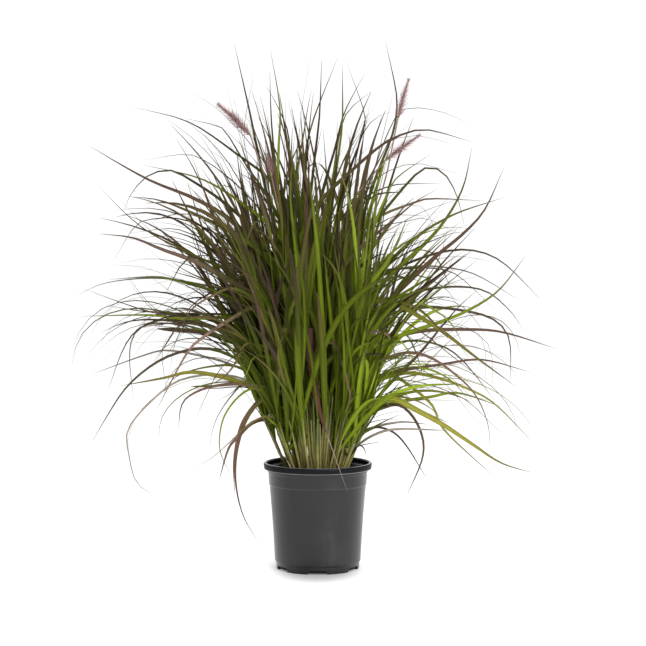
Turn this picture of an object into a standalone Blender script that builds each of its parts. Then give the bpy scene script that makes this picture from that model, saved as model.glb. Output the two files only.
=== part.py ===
"""Potted fountain grass clump: a purple fountain grass in its round nursery pot.

Every shoot (tiller) of the clump is one solid: a culm with the leaf blades that grow from it.
Four shoots end in a young flower spike. The clump stands on the potting soil, which fills a thin
walled pot with a rolled rim, a banded collar and drain notches round its foot. Metres, +Z up, the
origin in the middle of the pot's flat underside. The front of the plant faces -Y.
"""
import math
import random

import bmesh
import bpy
from mathutils import Vector
from mathutils.bvhtree import BVHTree

CM = 0.01
MM = 0.001
GAP = 0.3 * MM              # air between solids that touch in the real plant

# Pot, from the rim down
POT_HEIGHT = 162 * MM
RIM_RADIUS = 82.5 * MM
RIM_ROLL = 2.5 * MM         # radius of the rolled edge
RIM_DEPTH = 10 * MM         # height of the rolled rim
RIM_TUCK = 0.8 * MM         # how far the rim's lower edge is drawn in
COLLAR_TOP_RADIUS = 76.6 * MM
COLLAR_STEP_HEIGHT = 147 * MM
BAND_HEIGHT = 129 * MM      # foot of the upper band, where a small ledge runs round
BAND_RADIUS = 74.4 * MM
LEDGE = 0.8 * MM
EDGE = 0.5 * MM             # softening of the collar's corners
FOOT_HEIGHT = 12 * MM
FOOT_RADIUS = 63.6 * MM
WALL = 1.6 * MM
FLOOR = 2 * MM
POT_STEPS = 30
# The wall's outer radius at four heights below the ledge: it narrows more quickly near the top
WALL_TAPER = ((12 * MM, 65.4 * MM), (39 * MM, 66.8 * MM), (78 * MM, 69.2 * MM), (128 * MM, 73.6 * MM))

NOTCHES = 6                 # drain notches round the foot, one of them in the middle of the front
NOTCH_WIDTH = 28.6 * MM
NOTCH_HEIGHT = 6 * MM
NOTCH_DEPTH = 9 * MM
NOTCH_REACH = 4 * MM        # how far the cutters stand out of the foot

# Soil
SOIL_MIDDLE = 147 * MM
SOIL_EDGE = 144.5 * MM
SOIL_STEPS = 18

# Shoots: their feet fill a round patch of the soil, and they fan out from it
TILLERS = 40
CLUMP_RADIUS = 46 * MM
FAN = 1.85                  # how much further out a culm's top stands than its foot
CULM_TOP_INNER = 285 * MM
CULM_TOP_OUTER = 232 * MM
CULM_FOOT_RADIUS = 2.7 * MM
CULM_TOP_RADIUS = 1.7 * MM
FOOT_LIFT = 1.3 * MM        # a leaning culm's lowest edge then clears the soil by the gap
STEM_SIDES = 5
STEM_TWIST = 0.3            # share of a side that the stems' corners are turned by
LEAVES_EACH = 4
LEAF_STEP = 0.07            # share of the culm between the feet of its leaves
LOWEST_LEAF = 0.3
HIGHEST_LEAF = 0.96
GOLDEN_ANGLE = math.radians(137.508)
FORK_HEIGHT = 240 * MM      # where the shoots are compared with the line a leaf points down
CLUMP_CENTRE = 30 * MM      # height the leaves seem to fan out from, inside the pot
SHOOTS_TRIED = 9
DEPTH_SHIFTS = (0, 1.5, -1.5, 3, -3, 4.5, -4.5)     # centimetres

# Blades
KEEL_SHARE = 0.11           # depth of the keel under a blade, as a share of its width
KEEL_LEAST = 0.35 * MM
NARROW = 6 * MM             # blades drawn narrower than this are seen partly edge on
LEAST_TURN = 0.12
LEAF_SECTIONS = 2           # the straight pieces of a blade that doesn't bend at all
BEND_STEP = 0.95            # radians of bend for each further piece
RISING = 0.42               # how far a blade keeps its culm's direction
COMING = 0.36               # how far it already has its own
HIDDEN_STEPS = 5
ARCHING_LEAVES = 24
ARCHING_TRIES = 1500
ARCHING_SEED = 11
BAREST = 10                 # arching leaves go to one of this many shoots with the fewest leaves

# Where the plant is looked at from. Leaves are laid out on the upright plane through the pot's
# axis, and then carried along the line of sight to their own depth.
EYE = Vector((8 * MM, -2.87, 0.523))

# Leaf blades: width in millimetres, depth of the tip behind (+) or before (-) the axis in
# centimetres, and the midrib's points (x, z) in centimetres on the upright plane, foot to tip.
LEAVES = (
    # upper left
    (6.0, 6, ((-8.5, 60.2), (-11.5, 62.4), (-15, 65), (-18, 67), (-21.5, 68.5), (-28, 70))),
    (4.5, 3, ((-7, 59.8), (-9, 63), (-12, 66.6), (-15.5, 70), (-20, 72.8))),
    (3.2, -3, ((-8.5, 58), (-10.4, 60.6), (-13, 64.9), (-13.9, 66.3), (-15.2, 67.2), (-20, 68.3))),
    (8.0, -8, ((-10, 50), (-14, 53.6), (-19, 56.4), (-25, 58.8), (-30, 61.5), (-34.5, 64.2))),
    (5.5, -2, ((-8, 52.8), (-11, 55.2), (-15.5, 58.2), (-19.5, 59.8), (-26.5, 61.3))),
    (5.5, 5, ((-10.5, 52.3), (-14.5, 55.9), (-19, 58.9), (-22.3, 60.5), (-25.8, 59.6),
              (-28.3, 56.8), (-29.2, 54.6))),
    (3.0, 9, ((-9.5, 55.5), (-13.5, 59.4), (-16.5, 61.6), (-19.8, 62.9), (-26.5, 62))),
    (8.0, -10, ((-11, 50), (-15, 52.2), (-19.5, 54.3), (-24, 56), (-28.3, 56.5))),
    # left
    (5.0, -5, ((-12, 44.5), (-16, 46.4), (-20, 48.3), (-25, 50.8), (-28.8, 53.7), (-33.3, 58.3))),
    (3.5, 8, ((-13, 49.5), (-17.5, 52), (-21, 53.2), (-24.5, 53.2), (-27.5, 52.2), (-31, 46.8))),
    (9.0, -12, ((-10.5, 42), (-14.5, 44.5), (-19, 46.9), (-23.5, 48.5), (-28, 50.3), (-33, 50.9))),
    (3.0, 12, ((-12, 47), (-16, 49.6), (-19, 50.8), (-22.3, 51.7), (-28.5, 51))),
    (3.0, 4, ((-11, 43.5), (-14, 46), (-17, 47.9), (-20, 49.4), (-23.2, 50.3))),
    (3.0, 14, ((-11.5, 45.3), (-14.5, 47.6), (-18, 49.6), (-21.5, 51.2))),
    (3.0, 2, ((-11, 42), (-14.5, 42.8), (-17.5, 43.9), (-22.1, 45.2))),
    (4.5, -2, ((-10, 41), (-14, 42.5), (-17, 43.9), (-20, 45.3), (-22.5, 47))),
    (5.5, -6, ((-11, 40.2), (-15.7, 42.2), (-20.5, 43.6), (-24.5, 44.4), (-31.5, 44))),
    (2.8, 10, ((-12, 41.8), (-18, 43.3), (-24.5, 44.2), (-32, 43.5), (-36.5, 41.6))),
    (3.0, -14, ((-12.5, 36), (-15.5, 38), (-21, 41.2), (-24, 43.4), (-27.2, 45.6))),
    (5.5, 3, ((-12, 38.2), (-18, 38.3), (-24.5, 38.9), (-29, 40.2), (-35.8, 42.7))),
    (3.0, 12, ((-13, 38.6), (-20, 38.8), (-26, 39.1), (-32, 40))),
    (6.0, -5, ((-10, 38.6), (-15, 38.2), (-21, 38.1), (-26, 38.6), (-35.8, 38.4))),
    (4.0, 8, ((-12, 35.4), (-17, 37), (-21, 37.6), (-26, 37.9), (-29.5, 37.4), (-33, 35.9))),
    (3.2, -9, ((-14, 36.2), (-20.5, 37.5), (-24, 37.8), (-27.3, 36.4), (-29.6, 33.3), (-32, 26.8))),
    (2.6, 14, ((-14, 35.2), (-20, 37), (-24.8, 37.3), (-27.6, 36), (-28.6, 32.5), (-28, 25.5))),
    (4.0, 0, ((-12, 34.5), (-17, 36.2), (-21, 36.6), (-28, 37.3))),
    (5.5, -7, ((-11, 33.8), (-15, 35.4), (-18.8, 36.1), (-24.3, 36.5))),
    (3.0, -12, ((-13, 35.6), (-18, 37.4), (-21, 37), (-22.8, 34.6), (-24.8, 31.2))),
    (3.0, 9, ((-13.5, 36.6), (-18.5, 38.2), (-21, 35.8), (-22, 33), (-22.4, 30.2))),
    (6.5, -16, ((-6, 38), (-9.3, 39.9), (-13.8, 37.6), (-17.3, 35.3), (-20, 32.6), (-24.6, 24))),
    (6.0, -15, ((-9.5, 41), (-13, 42.7), (-16, 41.5), (-18.6, 40), (-20, 38.2), (-21, 35.5))),
    (3.5, 10, ((-13, 40), (-17, 41.2), (-19.9, 41), (-22.3, 40), (-23.6, 38.6))),
    # lower left
    (7.0, -6, ((-8, 26.9), (-11.5, 28.3), (-15.5, 29.4), (-19.5, 29.9), (-23.5, 29), (-30, 27.8))),
    (4.5, 6, ((-9, 29.6), (-13, 30.9), (-16, 30.8), (-19, 30.2), (-21.5, 29.2), (-23.5, 27.2))),
    (4.0, -10, ((-9.5, 30.2), (-12, 31.8), (-16, 33.4), (-20, 33.2), (-24.5, 31.4), (-29, 27.7),
                (-32.3, 22.8), (-34.6, 18.8))),
    (2.5, 9, ((-8.5, 28.8), (-12.5, 30.8), (-16.5, 32.1), (-22.5, 33.2), (-26, 32.6),
              (-34.3, 29.6))),
    (2.5, -3, ((-10, 28.5), (-14, 29.5), (-18.5, 29.3), (-22.3, 28), (-26.7, 24.1), (-29, 20.8),
               (-28.8, 17.5), (-27.6, 13), (-24.1, 10.6))),
    (4.5, -8, ((-8, 27.6), (-12.5, 28.1), (-16.5, 27.6), (-19.5, 26.3), (-20.8, 24.6),
               (-21.2, 21.2))),
    (4.2, 5, ((-7.5, 27), (-11.5, 28), (-15.5, 27.8), (-19.3, 27.7))),
    (4.5, -13, ((-9, 34), (-11, 34.2), (-12.5, 31.3), (-14, 29.4), (-15.5, 28.4), (-17.3, 27.7))),
    (3.5, 7, ((-7.5, 26.5), (-10.8, 28.2), (-13.2, 26.2), (-15.4, 22.8), (-16.3, 19.5),
              (-16.3, 16.5))),
    (3.5, -6, ((-6.8, 25.5), (-9.5, 27.4), (-12, 26.2), (-14.3, 23), (-15, 19), (-14.3, 16.2),
               (-12.8, 13.6))),
    (6.0, -3, ((-6, 24.8), (-8, 26.1), (-10.3, 24), (-11.9, 21), (-12.8, 16), (-12.6, 10.5))),
    (5.0, -9, ((-6.5, 25.5), (-8.3, 25.8), (-10.8, 22.8), (-12.3, 18), (-12.5, 13), (-11.4, 8),
               (-9.2, 4.1))),
    (6.0, 2, ((-5.5, 21.8), (-8, 22.7), (-10.2, 22), (-12.1, 20), (-13.6, 18.2), (-15.1, 13.2))),
    (4.0, -12, ((-5.5, 22.6), (-8.2, 23.1), (-11, 21.5), (-13.2, 19.4), (-16.3, 16.7),
                (-20, 14.7))),
    (4.5, -6, ((-4.9, 18.5), (-5.6, 21), (-7.4, 22.7), (-9.4, 24.3))),
    (4.0, 3, ((-4.6, 18.2), (-5.2, 20), (-6.5, 21.5), (-8, 22.2))),
    # top
    (5.0, 8, ((-7.5, 56), (-9.3, 64.5), (-10.1, 68.5), (-11, 72.6), (-12.6, 79.6))),
    (3.5, 14, ((-4.5, 54), (-6, 61), (-7.5, 66.3), (-9, 70), (-11.2, 74.3))),
    (5.2, -4, ((-5.6, 50), (-6, 57), (-5.9, 64), (-5.7, 70), (-7.1, 78.5))),
    (4.0, 6, ((-4.2, 54), (-4.3, 62.3), (-4.5, 66.3), (-6.2, 70.4), (-7.9, 73.4))),
    (2.6, 12, ((-2.5, 56), (-2.8, 65), (-2.3, 70.5), (-0.7, 79.6))),
    (6.0, -2, ((-3.3, 55), (-3, 61), (-2.1, 66), (-1.5, 69.9), (-0.9, 72.7))),
    (5.0, 10, ((-2.3, 56), (-1.8, 63.3), (-0.9, 67.3), (0.5, 71.2), (3.1, 77.6))),
    (4.5, 3, ((3, 52), (4.7, 59.8), (6.4, 64.8), (7.1, 67.3), (6.9, 69.7), (4.2, 77.1))),
    (6.0, 7, ((-0.5, 52), (1.2, 59), (2.4, 63), (3.3, 66.6), (4.2, 69.6), (7, 74.9))),
    (4.5, 13, ((1.4, 54), (2.4, 60), (3.1, 65), (4.1, 68.6), (5.8, 70.6), (8.2, 72.4))),
    (6.0, -5, ((2.6, 52), (4.4, 59.5), (5.9, 63.5), (7.1, 66.5), (8.8, 68.4), (11, 69.3))),
    (5.0, 9, ((7, 54), (9, 60), (11.2, 65.6), (11.9, 69.2), (11.8, 72.5), (10.2, 79.9))),
    (6.5, -9, ((-0.5, 54.5), (1.8, 57.4), (5.3, 60.6), (9.5, 64.2), (12.5, 65.8), (16.5, 66.6),
               (23.2, 64.8))),
    (5.5, 2, ((5, 54), (7.5, 58.8), (9.6, 62.6), (11.8, 67))),
    (2.5, 15, ((9, 62), (11, 67), (12.6, 69.4), (15, 69.9), (19, 69.2), (23.1, 67.4))),
    (6.0, -8, ((-3.5, 50), (-4.1, 56), (-4, 60), (-3.5, 65.8))),
    # upper right
    (5.0, -2, ((7, 50.5), (10, 54.3), (13, 57.9), (15, 60), (17, 61), (19.3, 59.8),
               (21.1, 56.5), (22.1, 52.4))),
    (3.2, 8, ((7, 56.3), (10, 57.8), (12.5, 58.4), (18.5, 58.5))),
    (6.0, -6, ((7, 47.5), (8.6, 52.3), (10.4, 56.7), (12, 59.4), (17, 62.9))),
    (6.0, 6, ((6.5, 51), (9.5, 53.6), (14, 55.4), (17, 56.2), (25, 55.9))),
    (8.0, -10, ((5.5, 47.8), (8.8, 50.8), (12, 53.4), (15, 55.9), (18, 57.6))),
    (7.0, -3, ((9, 44), (12, 47.8), (16, 51.2), (19, 53), (22, 54.4), (28.2, 56.4))),
    (7.5, -9, ((9, 39), (13.5, 43.4), (18, 47.6), (22, 50.9), (25.3, 54.6), (28.1, 60.8))),
    (8.0, 5, ((9.5, 43), (12, 45.6), (16.2, 49.4), (19.3, 53), (22, 58), (23.3, 64))),
    (3.0, 12, ((7.5, 49.3), (11, 51.6), (16, 54.3), (20.8, 56), (25, 57.8))),
    (3.2, -13, ((7, 51.5), (10, 52.2), (13.5, 52.8), (16.5, 53.2), (22, 50.5))),
    # right
    (3.6, 7, ((10.5, 45), (14.8, 46.9), (19, 48.2), (23.5, 48.4), (28, 46.6), (33.8, 41))),
    (7.0, -12, ((9.5, 39.6), (13, 41.9), (17.2, 44.5), (19.8, 46.7), (22.2, 48.3))),
    (3.5, 10, ((9.5, 39.8), (14.5, 42), (20.5, 42.9), (25.5, 42.2), (29.2, 39.2), (31.3, 36.2))),
    (5.0, -5, ((9.5, 45.2), (14.5, 45.7), (18.3, 45.6), (21.5, 44.4), (27, 39.3))),
    (2.8, 14, ((11, 45.3), (15.5, 46), (19.5, 45.8), (24, 44.7), (30.5, 40.9))),
    (3.0, -10, ((10.5, 43.2), (14.3, 44.6), (17, 44), (19.7, 42.3), (21.3, 39.8))),
    (4.5, 3, ((8.5, 37.8), (13.5, 39.4), (17.5, 39.8), (23.5, 39), (27, 37.7), (29.1, 34.8),
              (29.3, 28.6))),
    (6.0, -8, ((9, 34), (14, 36), (18.5, 37.5), (23, 39.4), (27.5, 42.4), (31.5, 47.6))),
    (5.0, -10, ((9.5, 26.5), (12.3, 29.6), (15.5, 32.8), (20.8, 39.2), (24.2, 42.4))),
    (6.0, 0, ((8, 33.4), (12, 35.3), (16, 36.2), (22, 36.4), (28, 36), (36.2, 33.5))),
    (8.0, -14, ((9, 40.8), (12.5, 40), (16, 38), (19.5, 35.7), (24, 32.2), (30, 27.8))),
    (3.2, 9, ((9.5, 33.6), (14, 34.7), (18.5, 34), (22, 31.7), (27, 25.5))),
    (3.6, -4, ((8, 29), (13, 30.2), (19, 31.1), (25, 31.8), (32.3, 29.9))),
    # lower right
    (5.0, -11, ((9, 31.4), (13.5, 32.9), (17.4, 32), (21.2, 29.3), (24, 26.4), (25.9, 22),
                (26.2, 17.8))),
    (5.5, -7, ((9, 28.6), (13.5, 29.8), (18, 29.1), (22.5, 27.5), (27, 25), (33.3, 18.6))),
    (4.0, 11, ((8, 24), (12, 25.3), (17, 26.1), (21.5, 26.7), (28, 24.6))),
    (7.0, -5, ((7, 24), (10, 25.8), (13, 27.1), (16.5, 27.9), (23, 28.1))),
    (5.0, 6, ((8.5, 28.5), (11, 29.6), (14.8, 27.2), (17.6, 24.6), (19.3, 21), (27.2, 13.6))),
    (8.5, -12, ((8, 24.9), (11.5, 25.8), (14.7, 24.3), (19.2, 21.8), (23.7, 18.8), (28, 16),
                (33.2, 14.4))),
    (3.6, -3, ((7, 24), (10, 24.8), (13, 24.6), (15.5, 21.3), (16, 17), (13.4, 10.6))),
    (2.6, 4, ((5.9, 19.3), (8, 21.4), (11, 21), (13.4, 18.8), (16.8, 13.3))),
    (2.6, -8, ((5.8, 18.6), (8.5, 20.3), (12, 21.2), (19.8, 21))),
    (2.8, 9, ((6.2, 20.2), (9, 21.6), (13, 22.3), (17, 21.9))),
    (2.5, 2, ((5.2, 17.8), (6.2, 18.6), (8.5, 19.1), (10.4, 19.3))),
    (2.4, -4, ((5, 17.2), (6.2, 18.7), (7, 18.3), (7.4, 17.2))),
    (4.5, -2, ((5.8, 20), (8.3, 21.4), (10.6, 22.6), (13.2, 23.7))),
    (3.6, 8, ((6.5, 22.6), (9.8, 24.4), (13.5, 24.8), (20.2, 22))),
    # front
    (8.0, -12, ((-1.2, 36.2), (-1.3, 33), (-0.7, 29), (0, 25), (1, 21.5), (2.5, 17.3),
                (4.6, 11.4))),
    (5.0, -13, ((1.2, 34.2), (2.3, 34.5), (3.6, 32), (4.6, 28), (4.9, 26), (4, 22.2))),
    (6.0, -15, ((-3.6, 39.2), (-4.5, 38.6), (-5.3, 35.5), (-5.8, 32), (-5.9, 26.5))),
    (6.5, -9, ((-1.8, 30.4), (-4, 33), (-5.8, 36), (-7.5, 39.5), (-8.4, 43), (-9.3, 50))),
    (5.0, -5, ((0.3, 30), (0.3, 36), (-0.3, 40), (-0.5, 46), (-0.6, 52))),
    (5.0, -7, ((2.8, 30), (2.6, 33), (2, 38), (1.6, 42), (0.8, 50))),
    (8.0, -6, ((3, 30), (4, 35), (5.4, 40), (6.6, 44.5), (7, 50), (7.6, 55))),
    (5.0, -11, ((2, 32), (5, 34.6), (8.5, 36), (10.7, 35.5), (11.6, 33), (11.9, 30.2))),
    (4.0, -9, ((5, 23), (6.2, 27.5), (6.9, 31.2), (8, 33.9), (9.8, 33.8))),
)

# Flowering shoots: depth, the stalk's points up to the foot of the spike, and the spike's tip
FLOWERS = (
    (2, ((-6.5, 52), (-7.2, 58.5), (-8, 62.3), (-10.2, 65.8)), ((-12.5, 68.2), (-15, 70.4))),
    (-4, ((6.5, 50), (9.4, 56), (10.6, 62), (12.1, 68.2)), ((12.9, 71.4), (13.7, 74.1))),
    (4, ((3.5, 50), (6.2, 57), (8.3, 60.2), (10.2, 62)), ((12.6, 63.8), (15.4, 65.8))),
    (-6, ((-5, 50), (-6.3, 56), (-7, 59.6)), ((-7.3, 61.2), (-7.6, 62.9))),
)
FLOWER_FEET = ((-14 * MM, 2 * MM), (17 * MM, -9 * MM), (11 * MM, 14 * MM), (-8 * MM, -15 * MM))
STALK_RADIUS = 1.3 * MM
STALK_SECTIONS = 5
SPIKE_RADIUS = 3.6 * MM
SPIKE_SECTIONS = 4
FOOT_TRIES = 80
FOOT_STRIDE = 2 * MM


def clear_scene():
    """Remove whatever the scene starts with."""
    for thing in list(bpy.data.objects):
        bpy.data.objects.remove(thing, do_unlink=True)


def new_collection(name):
    """Make a collection in the scene and return it."""
    collection = bpy.data.collections.new(name)
    bpy.context.scene.collection.children.link(collection)
    return collection


def plain_material(name, colour, roughness):
    """A Principled material of one colour."""
    material = bpy.data.materials.new(name)
    material.use_nodes = True
    shader = material.node_tree.nodes["Principled BSDF"]
    shader.inputs["Base Color"].default_value = (*colour, 1)
    shader.inputs["Roughness"].default_value = roughness
    shader.inputs["Metallic"].default_value = 0
    return material


def object_from_bmesh(name, bm, collection):
    """Turn a bmesh into an object of the collection."""
    mesh = bpy.data.meshes.new(name)
    bm.to_mesh(mesh)
    bm.free()
    thing = bpy.data.objects.new(name, mesh)
    collection.objects.link(thing)
    return thing


# ---------------------------------------------------------------------- pot and soil


def wall_radius(height):
    """Outer radius of the pot's wall at a height between the foot and the ledge."""
    for (low, wide_low), (high, wide_high) in zip(WALL_TAPER, WALL_TAPER[1:]):
        if height <= high:
            share = (height - low) / (high - low)
            return wide_low + share * (wide_high - wide_low)
    return WALL_TAPER[-1][1]


def rim_profile():
    """The rolled rim, from its inner edge over the top and down to the collar."""
    centre_x = RIM_RADIUS - RIM_ROLL
    centre_z = POT_HEIGHT - RIM_ROLL
    points = []
    for step in range(5):
        angle = math.pi * (1 - step / 4)
        points.append((centre_x + RIM_ROLL * math.cos(angle), centre_z + RIM_ROLL * math.sin(angle)))
    foot = POT_HEIGHT - RIM_DEPTH
    points.append((RIM_RADIUS - RIM_TUCK, foot))
    return points


def pot_profile():
    """Half section of the pot: down the outside, along the underside and up the inside."""
    outside = rim_profile()
    outside += [(COLLAR_TOP_RADIUS, POT_HEIGHT - RIM_DEPTH),
                (COLLAR_TOP_RADIUS - EDGE, COLLAR_STEP_HEIGHT + EDGE),
                (BAND_RADIUS + 2 * EDGE, COLLAR_STEP_HEIGHT),
                (BAND_RADIUS, BAND_HEIGHT + LEDGE)]
    outside += [(radius, height) for height, radius in reversed(WALL_TAPER)]
    outside += [(FOOT_RADIUS, FOOT_HEIGHT - WALL),
                (FOOT_RADIUS - EDGE, 0),
                (0, 0)]
    inside = [(0, FLOOR),
              (FOOT_RADIUS - EDGE - WALL, FLOOR),
              (FOOT_RADIUS - WALL, FOOT_HEIGHT - 2 * EDGE)]
    inside += [(radius - WALL, height + 2 * EDGE) for height, radius in WALL_TAPER]
    inside += [(BAND_RADIUS - WALL + 2 * EDGE, COLLAR_STEP_HEIGHT),
               (RIM_RADIUS - 2 * RIM_ROLL - EDGE, POT_HEIGHT - RIM_DEPTH + RIM_ROLL)]
    return outside + inside


def turned(name, profile, steps, closed, collection):
    """Turn a half section about the Z axis."""
    bm = bmesh.new()
    corners = [bm.verts.new((x, 0, z)) for x, z in profile]
    for one, other in zip(corners, corners[1:]):
        bm.edges.new((one, other))
    if closed:
        bm.edges.new((corners[-1], corners[0]))
    thing = object_from_bmesh(name, bm, collection)
    screw = thing.modifiers.new("Turn", 'SCREW')
    screw.steps = steps
    screw.render_steps = steps
    screw.use_merge_vertices = True
    screw.merge_threshold = 0.00001
    return thing


def drain_notch(angle, collection):
    """A box that cuts one drain notch through the foot."""
    bpy.ops.mesh.primitive_cube_add(size=1)
    cutter = bpy.context.object
    cutter.name = f"notch_cutter_{round(math.degrees(angle)) % 360:03d}"
    length = NOTCH_DEPTH + NOTCH_REACH
    cutter.scale = (length, NOTCH_WIDTH, 2 * NOTCH_HEIGHT)
    cutter.rotation_euler = (0, 0, angle)
    middle = FOOT_RADIUS + NOTCH_REACH - length / 2
    cutter.location = (middle * math.cos(angle), middle * math.sin(angle), 0)
    cutter.display_type = 'WIRE'
    cutter.hide_render = True
    for holder in list(cutter.users_collection):
        holder.objects.unlink(cutter)
    collection.objects.link(cutter)
    return cutter


def build_pot(collection, cutters):
    """The nursery pot with its rolled rim, band and drain notches."""
    pot = turned("pot", pot_profile(), POT_STEPS, True, collection)
    pot.data.materials.append(plain_material("black_plastic", (0.052, 0.052, 0.056), 0.42))
    for number in range(NOTCHES):
        angle = -math.pi / 2 + number * 2 * math.pi / NOTCHES
        cut = pot.modifiers.new("Notch", 'BOOLEAN')
        cut.operation = 'DIFFERENCE'
        cut.object = drain_notch(angle, cutters)
    return pot


def soil_height(radius):
    """Height of the soil's gently domed top at a distance from the axis."""
    share = min(radius / (BAND_RADIUS - WALL), 1)
    return SOIL_MIDDLE - (SOIL_MIDDLE - SOIL_EDGE) * share ** 2


def build_soil(collection):
    """The potting mix: a plug that follows the pot's inside, a little clear of it."""
    edge = BAND_RADIUS - WALL - 2 * GAP
    top = [(edge * share, soil_height(edge * share)) for share in (0, 0.6, 1)]
    side = [(wall_radius(height) - WALL - 3 * GAP, height) for height in
            (127 * MM, 79 * MM, 40 * MM, FOOT_HEIGHT + 3 * MM)]
    bottom = [(FOOT_RADIUS - WALL - 1 * MM, FOOT_HEIGHT - 2 * MM),
              (FOOT_RADIUS - WALL - 1 * MM, FLOOR + GAP),
              (0, FLOOR + GAP)]
    soil = turned("potting_soil", top + side + bottom, SOIL_STEPS, False, collection)
    soil.data.materials.append(plain_material("potting_mix", (0.035, 0.024, 0.016), 0.95))
    return soil


# ---------------------------------------------------------------------- lines in space


def drawn(point):
    """Where a point of the plant is seen on the upright plane: (x, z, depth)."""
    share = -EYE.y / (point.y - EYE.y)
    seen = EYE + (point - EYE) * share
    return Vector((seen.x, seen.z, point.y))


def carried(x, z, depth):
    """The point at a depth that is seen at (x, z) on the upright plane."""
    share = (depth - EYE.y) / -EYE.y
    return EYE + (Vector((x, 0, z)) - EYE) * share


def smooth_line(points, count):
    """Evenly spaced points on the smooth curve through the given ones."""
    ends = [2 * points[0] - points[1]] + list(points) + [2 * points[-1] - points[-2]]
    fine = []
    for before, start, end, after in zip(ends, ends[1:], ends[2:], ends[3:]):
        for step in range(8):
            t = step / 8
            fine.append(0.5 * (2 * start + (end - before) * t
                               + (2 * before - 5 * start + 4 * end - after) * t * t
                               + (3 * start - before - 3 * end + after) * t ** 3))
    fine.append(points[-1].copy())
    lengths = [0]
    for one, other in zip(fine, fine[1:]):
        lengths.append(lengths[-1] + (other - one).length)
    line = []
    index = 0
    for step in range(count + 1):
        goal = lengths[-1] * step / count
        while index < len(fine) - 2 and lengths[index + 1] < goal:
            index += 1
        span = lengths[index + 1] - lengths[index]
        line.append(fine[index].lerp(fine[index + 1], min((goal - lengths[index]) / span, 1)))
    return line


def turning(points):
    """The angle that a line turns through from end to end."""
    total = 0
    for one, two, three in zip(points, points[1:], points[2:]):
        total += (two - one).angle(three - two, 0)
    return total


# ---------------------------------------------------------------------- blades


def blade_share(share):
    """Width of a blade along its length, as a share of its greatest width."""
    rise = min(share / 0.3, 1)
    rise = 0.42 + 0.58 * rise * rise * (3 - 2 * rise)
    return rise * (1 - share ** 2.6) ** 0.9 + 0.05


def blade_sides(line, facing, turn):
    """The direction across the blade at each point of its midrib."""
    sides = []
    before = flat = None
    for index in range(len(line)):
        along = (line[min(index + 1, len(line) - 1)] - line[max(index - 1, 0)]).normalized()
        kept_on = before.rotation_difference(along) @ flat if sides else Vector((1, 0, 0))
        flat = along.cross(facing)
        if flat.length < 0.15:
            flat = kept_on
        flat.normalize()
        if sides and flat.dot(kept_on) < 0:
            flat.negate()
        deep = flat.cross(along).normalized()
        sides.append((flat * math.cos(turn) + deep * math.sin(turn)).normalized())
        before = along
    return sides


def blade_rings(leaf, spare=0.0):
    """Three-cornered sections of a blade: its two edges and the keel under its midrib."""
    rings = []
    line = leaf["line"]
    for index, (point, side) in enumerate(zip(line, leaf["sides"])):
        share = index / (len(line) - 1)
        along = (line[min(index + 1, len(line) - 1)] - line[max(index - 1, 0)]).normalized()
        half = 0.5 * leaf["width"] * blade_share(share) + spare
        keel = max(2 * half * KEEL_SHARE, KEEL_LEAST) + 2 * spare
        down = along.cross(side).normalized()
        rings.append((point - side * half, point + side * half, point - down * keel))
    return rings


def skin(rings):
    """Corners and triangles of a row of equal sections. A twisted stretch bulges outwards."""
    around = len(rings[0])
    corners = [corner for ring in rings for corner in ring]
    faces = []
    for start in range(0, len(corners) - around, around):
        middle = sum(corners[start:start + 2 * around], Vector()) / (2 * around)
        for corner in range(around):
            a, b = start + corner, start + (corner + 1) % around
            c, d = b + around, a + around
            one, other = corners[a] + corners[c], corners[b] + corners[d]
            outward = (corners[c] - corners[a]).cross(corners[d] - corners[b])
            if outward.dot(one + other - 4 * middle) < 0:
                outward.negate()
            if outward.dot(one) > outward.dot(other):
                faces += [(a, b, c), (a, c, d)]
            else:
                faces += [(b, c, d), (b, d, a)]
    return corners, faces


def ring_tree(rings):
    """A search tree of a lofted shape, for finding where shapes meet."""
    return BVHTree.FromPolygons(*skin(rings))


def loft(name, rings, collection):
    """Skin a row of equal sections into one closed solid."""
    bm = bmesh.new()
    corners, faces = skin(rings)
    verts = [bm.verts.new(corner) for corner in corners]
    for face in faces + [range(len(rings[0])), range(-len(rings[0]), 0)]:
        bm.faces.new([verts[index] for index in face])
    bmesh.ops.recalc_face_normals(bm, faces=bm.faces)
    bmesh.ops.triangulate(bm, faces=bm.faces)
    return object_from_bmesh(name, bm, collection)


# ---------------------------------------------------------------------- shoots


def culm_line(foot_x, foot_y):
    """Foot and top of a culm that fans out from its foot."""
    foot_distance = math.hypot(foot_x, foot_y)
    outward = foot_distance / CLUMP_RADIUS
    foot = Vector((foot_x, foot_y, soil_height(foot_distance) + FOOT_LIFT))
    height = CULM_TOP_INNER + (CULM_TOP_OUTER - CULM_TOP_INNER) * outward ** 2
    return [foot, Vector((foot_x * FAN, foot_y * FAN, height))]


def make_shoots():
    """All shoots of the clump, each with its culm's line and room for its leaves."""
    shoots = []
    for number in range(TILLERS):
        distance = CLUMP_RADIUS * math.sqrt((number + 0.6) / TILLERS)
        angle = number * GOLDEN_ANGLE
        line = culm_line(distance * math.cos(angle), distance * math.sin(angle))
        shoots.append({"name": f"tiller_{number + 1:02d}", "culm": line, "leaves": [],
                       "trees": [stem_tree(line, CULM_FOOT_RADIUS)]})
    return shoots


def stem_rings(line, radii):
    """Five-cornered sections of a culm or stalk."""
    rings = []
    for index, (point, radius) in enumerate(zip(line, radii)):
        along = (line[min(index + 1, len(line) - 1)] - line[max(index - 1, 0)]).normalized()
        across = along.cross(Vector((0, 1, 0))).normalized()
        other = along.cross(across)
        turns = [(corner + STEM_TWIST) * 2 * math.pi / STEM_SIDES for corner in range(STEM_SIDES)]
        rings.append([point + (across * math.cos(turn) + other * math.sin(turn)) * radius
                      for turn in turns])
    return rings


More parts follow.
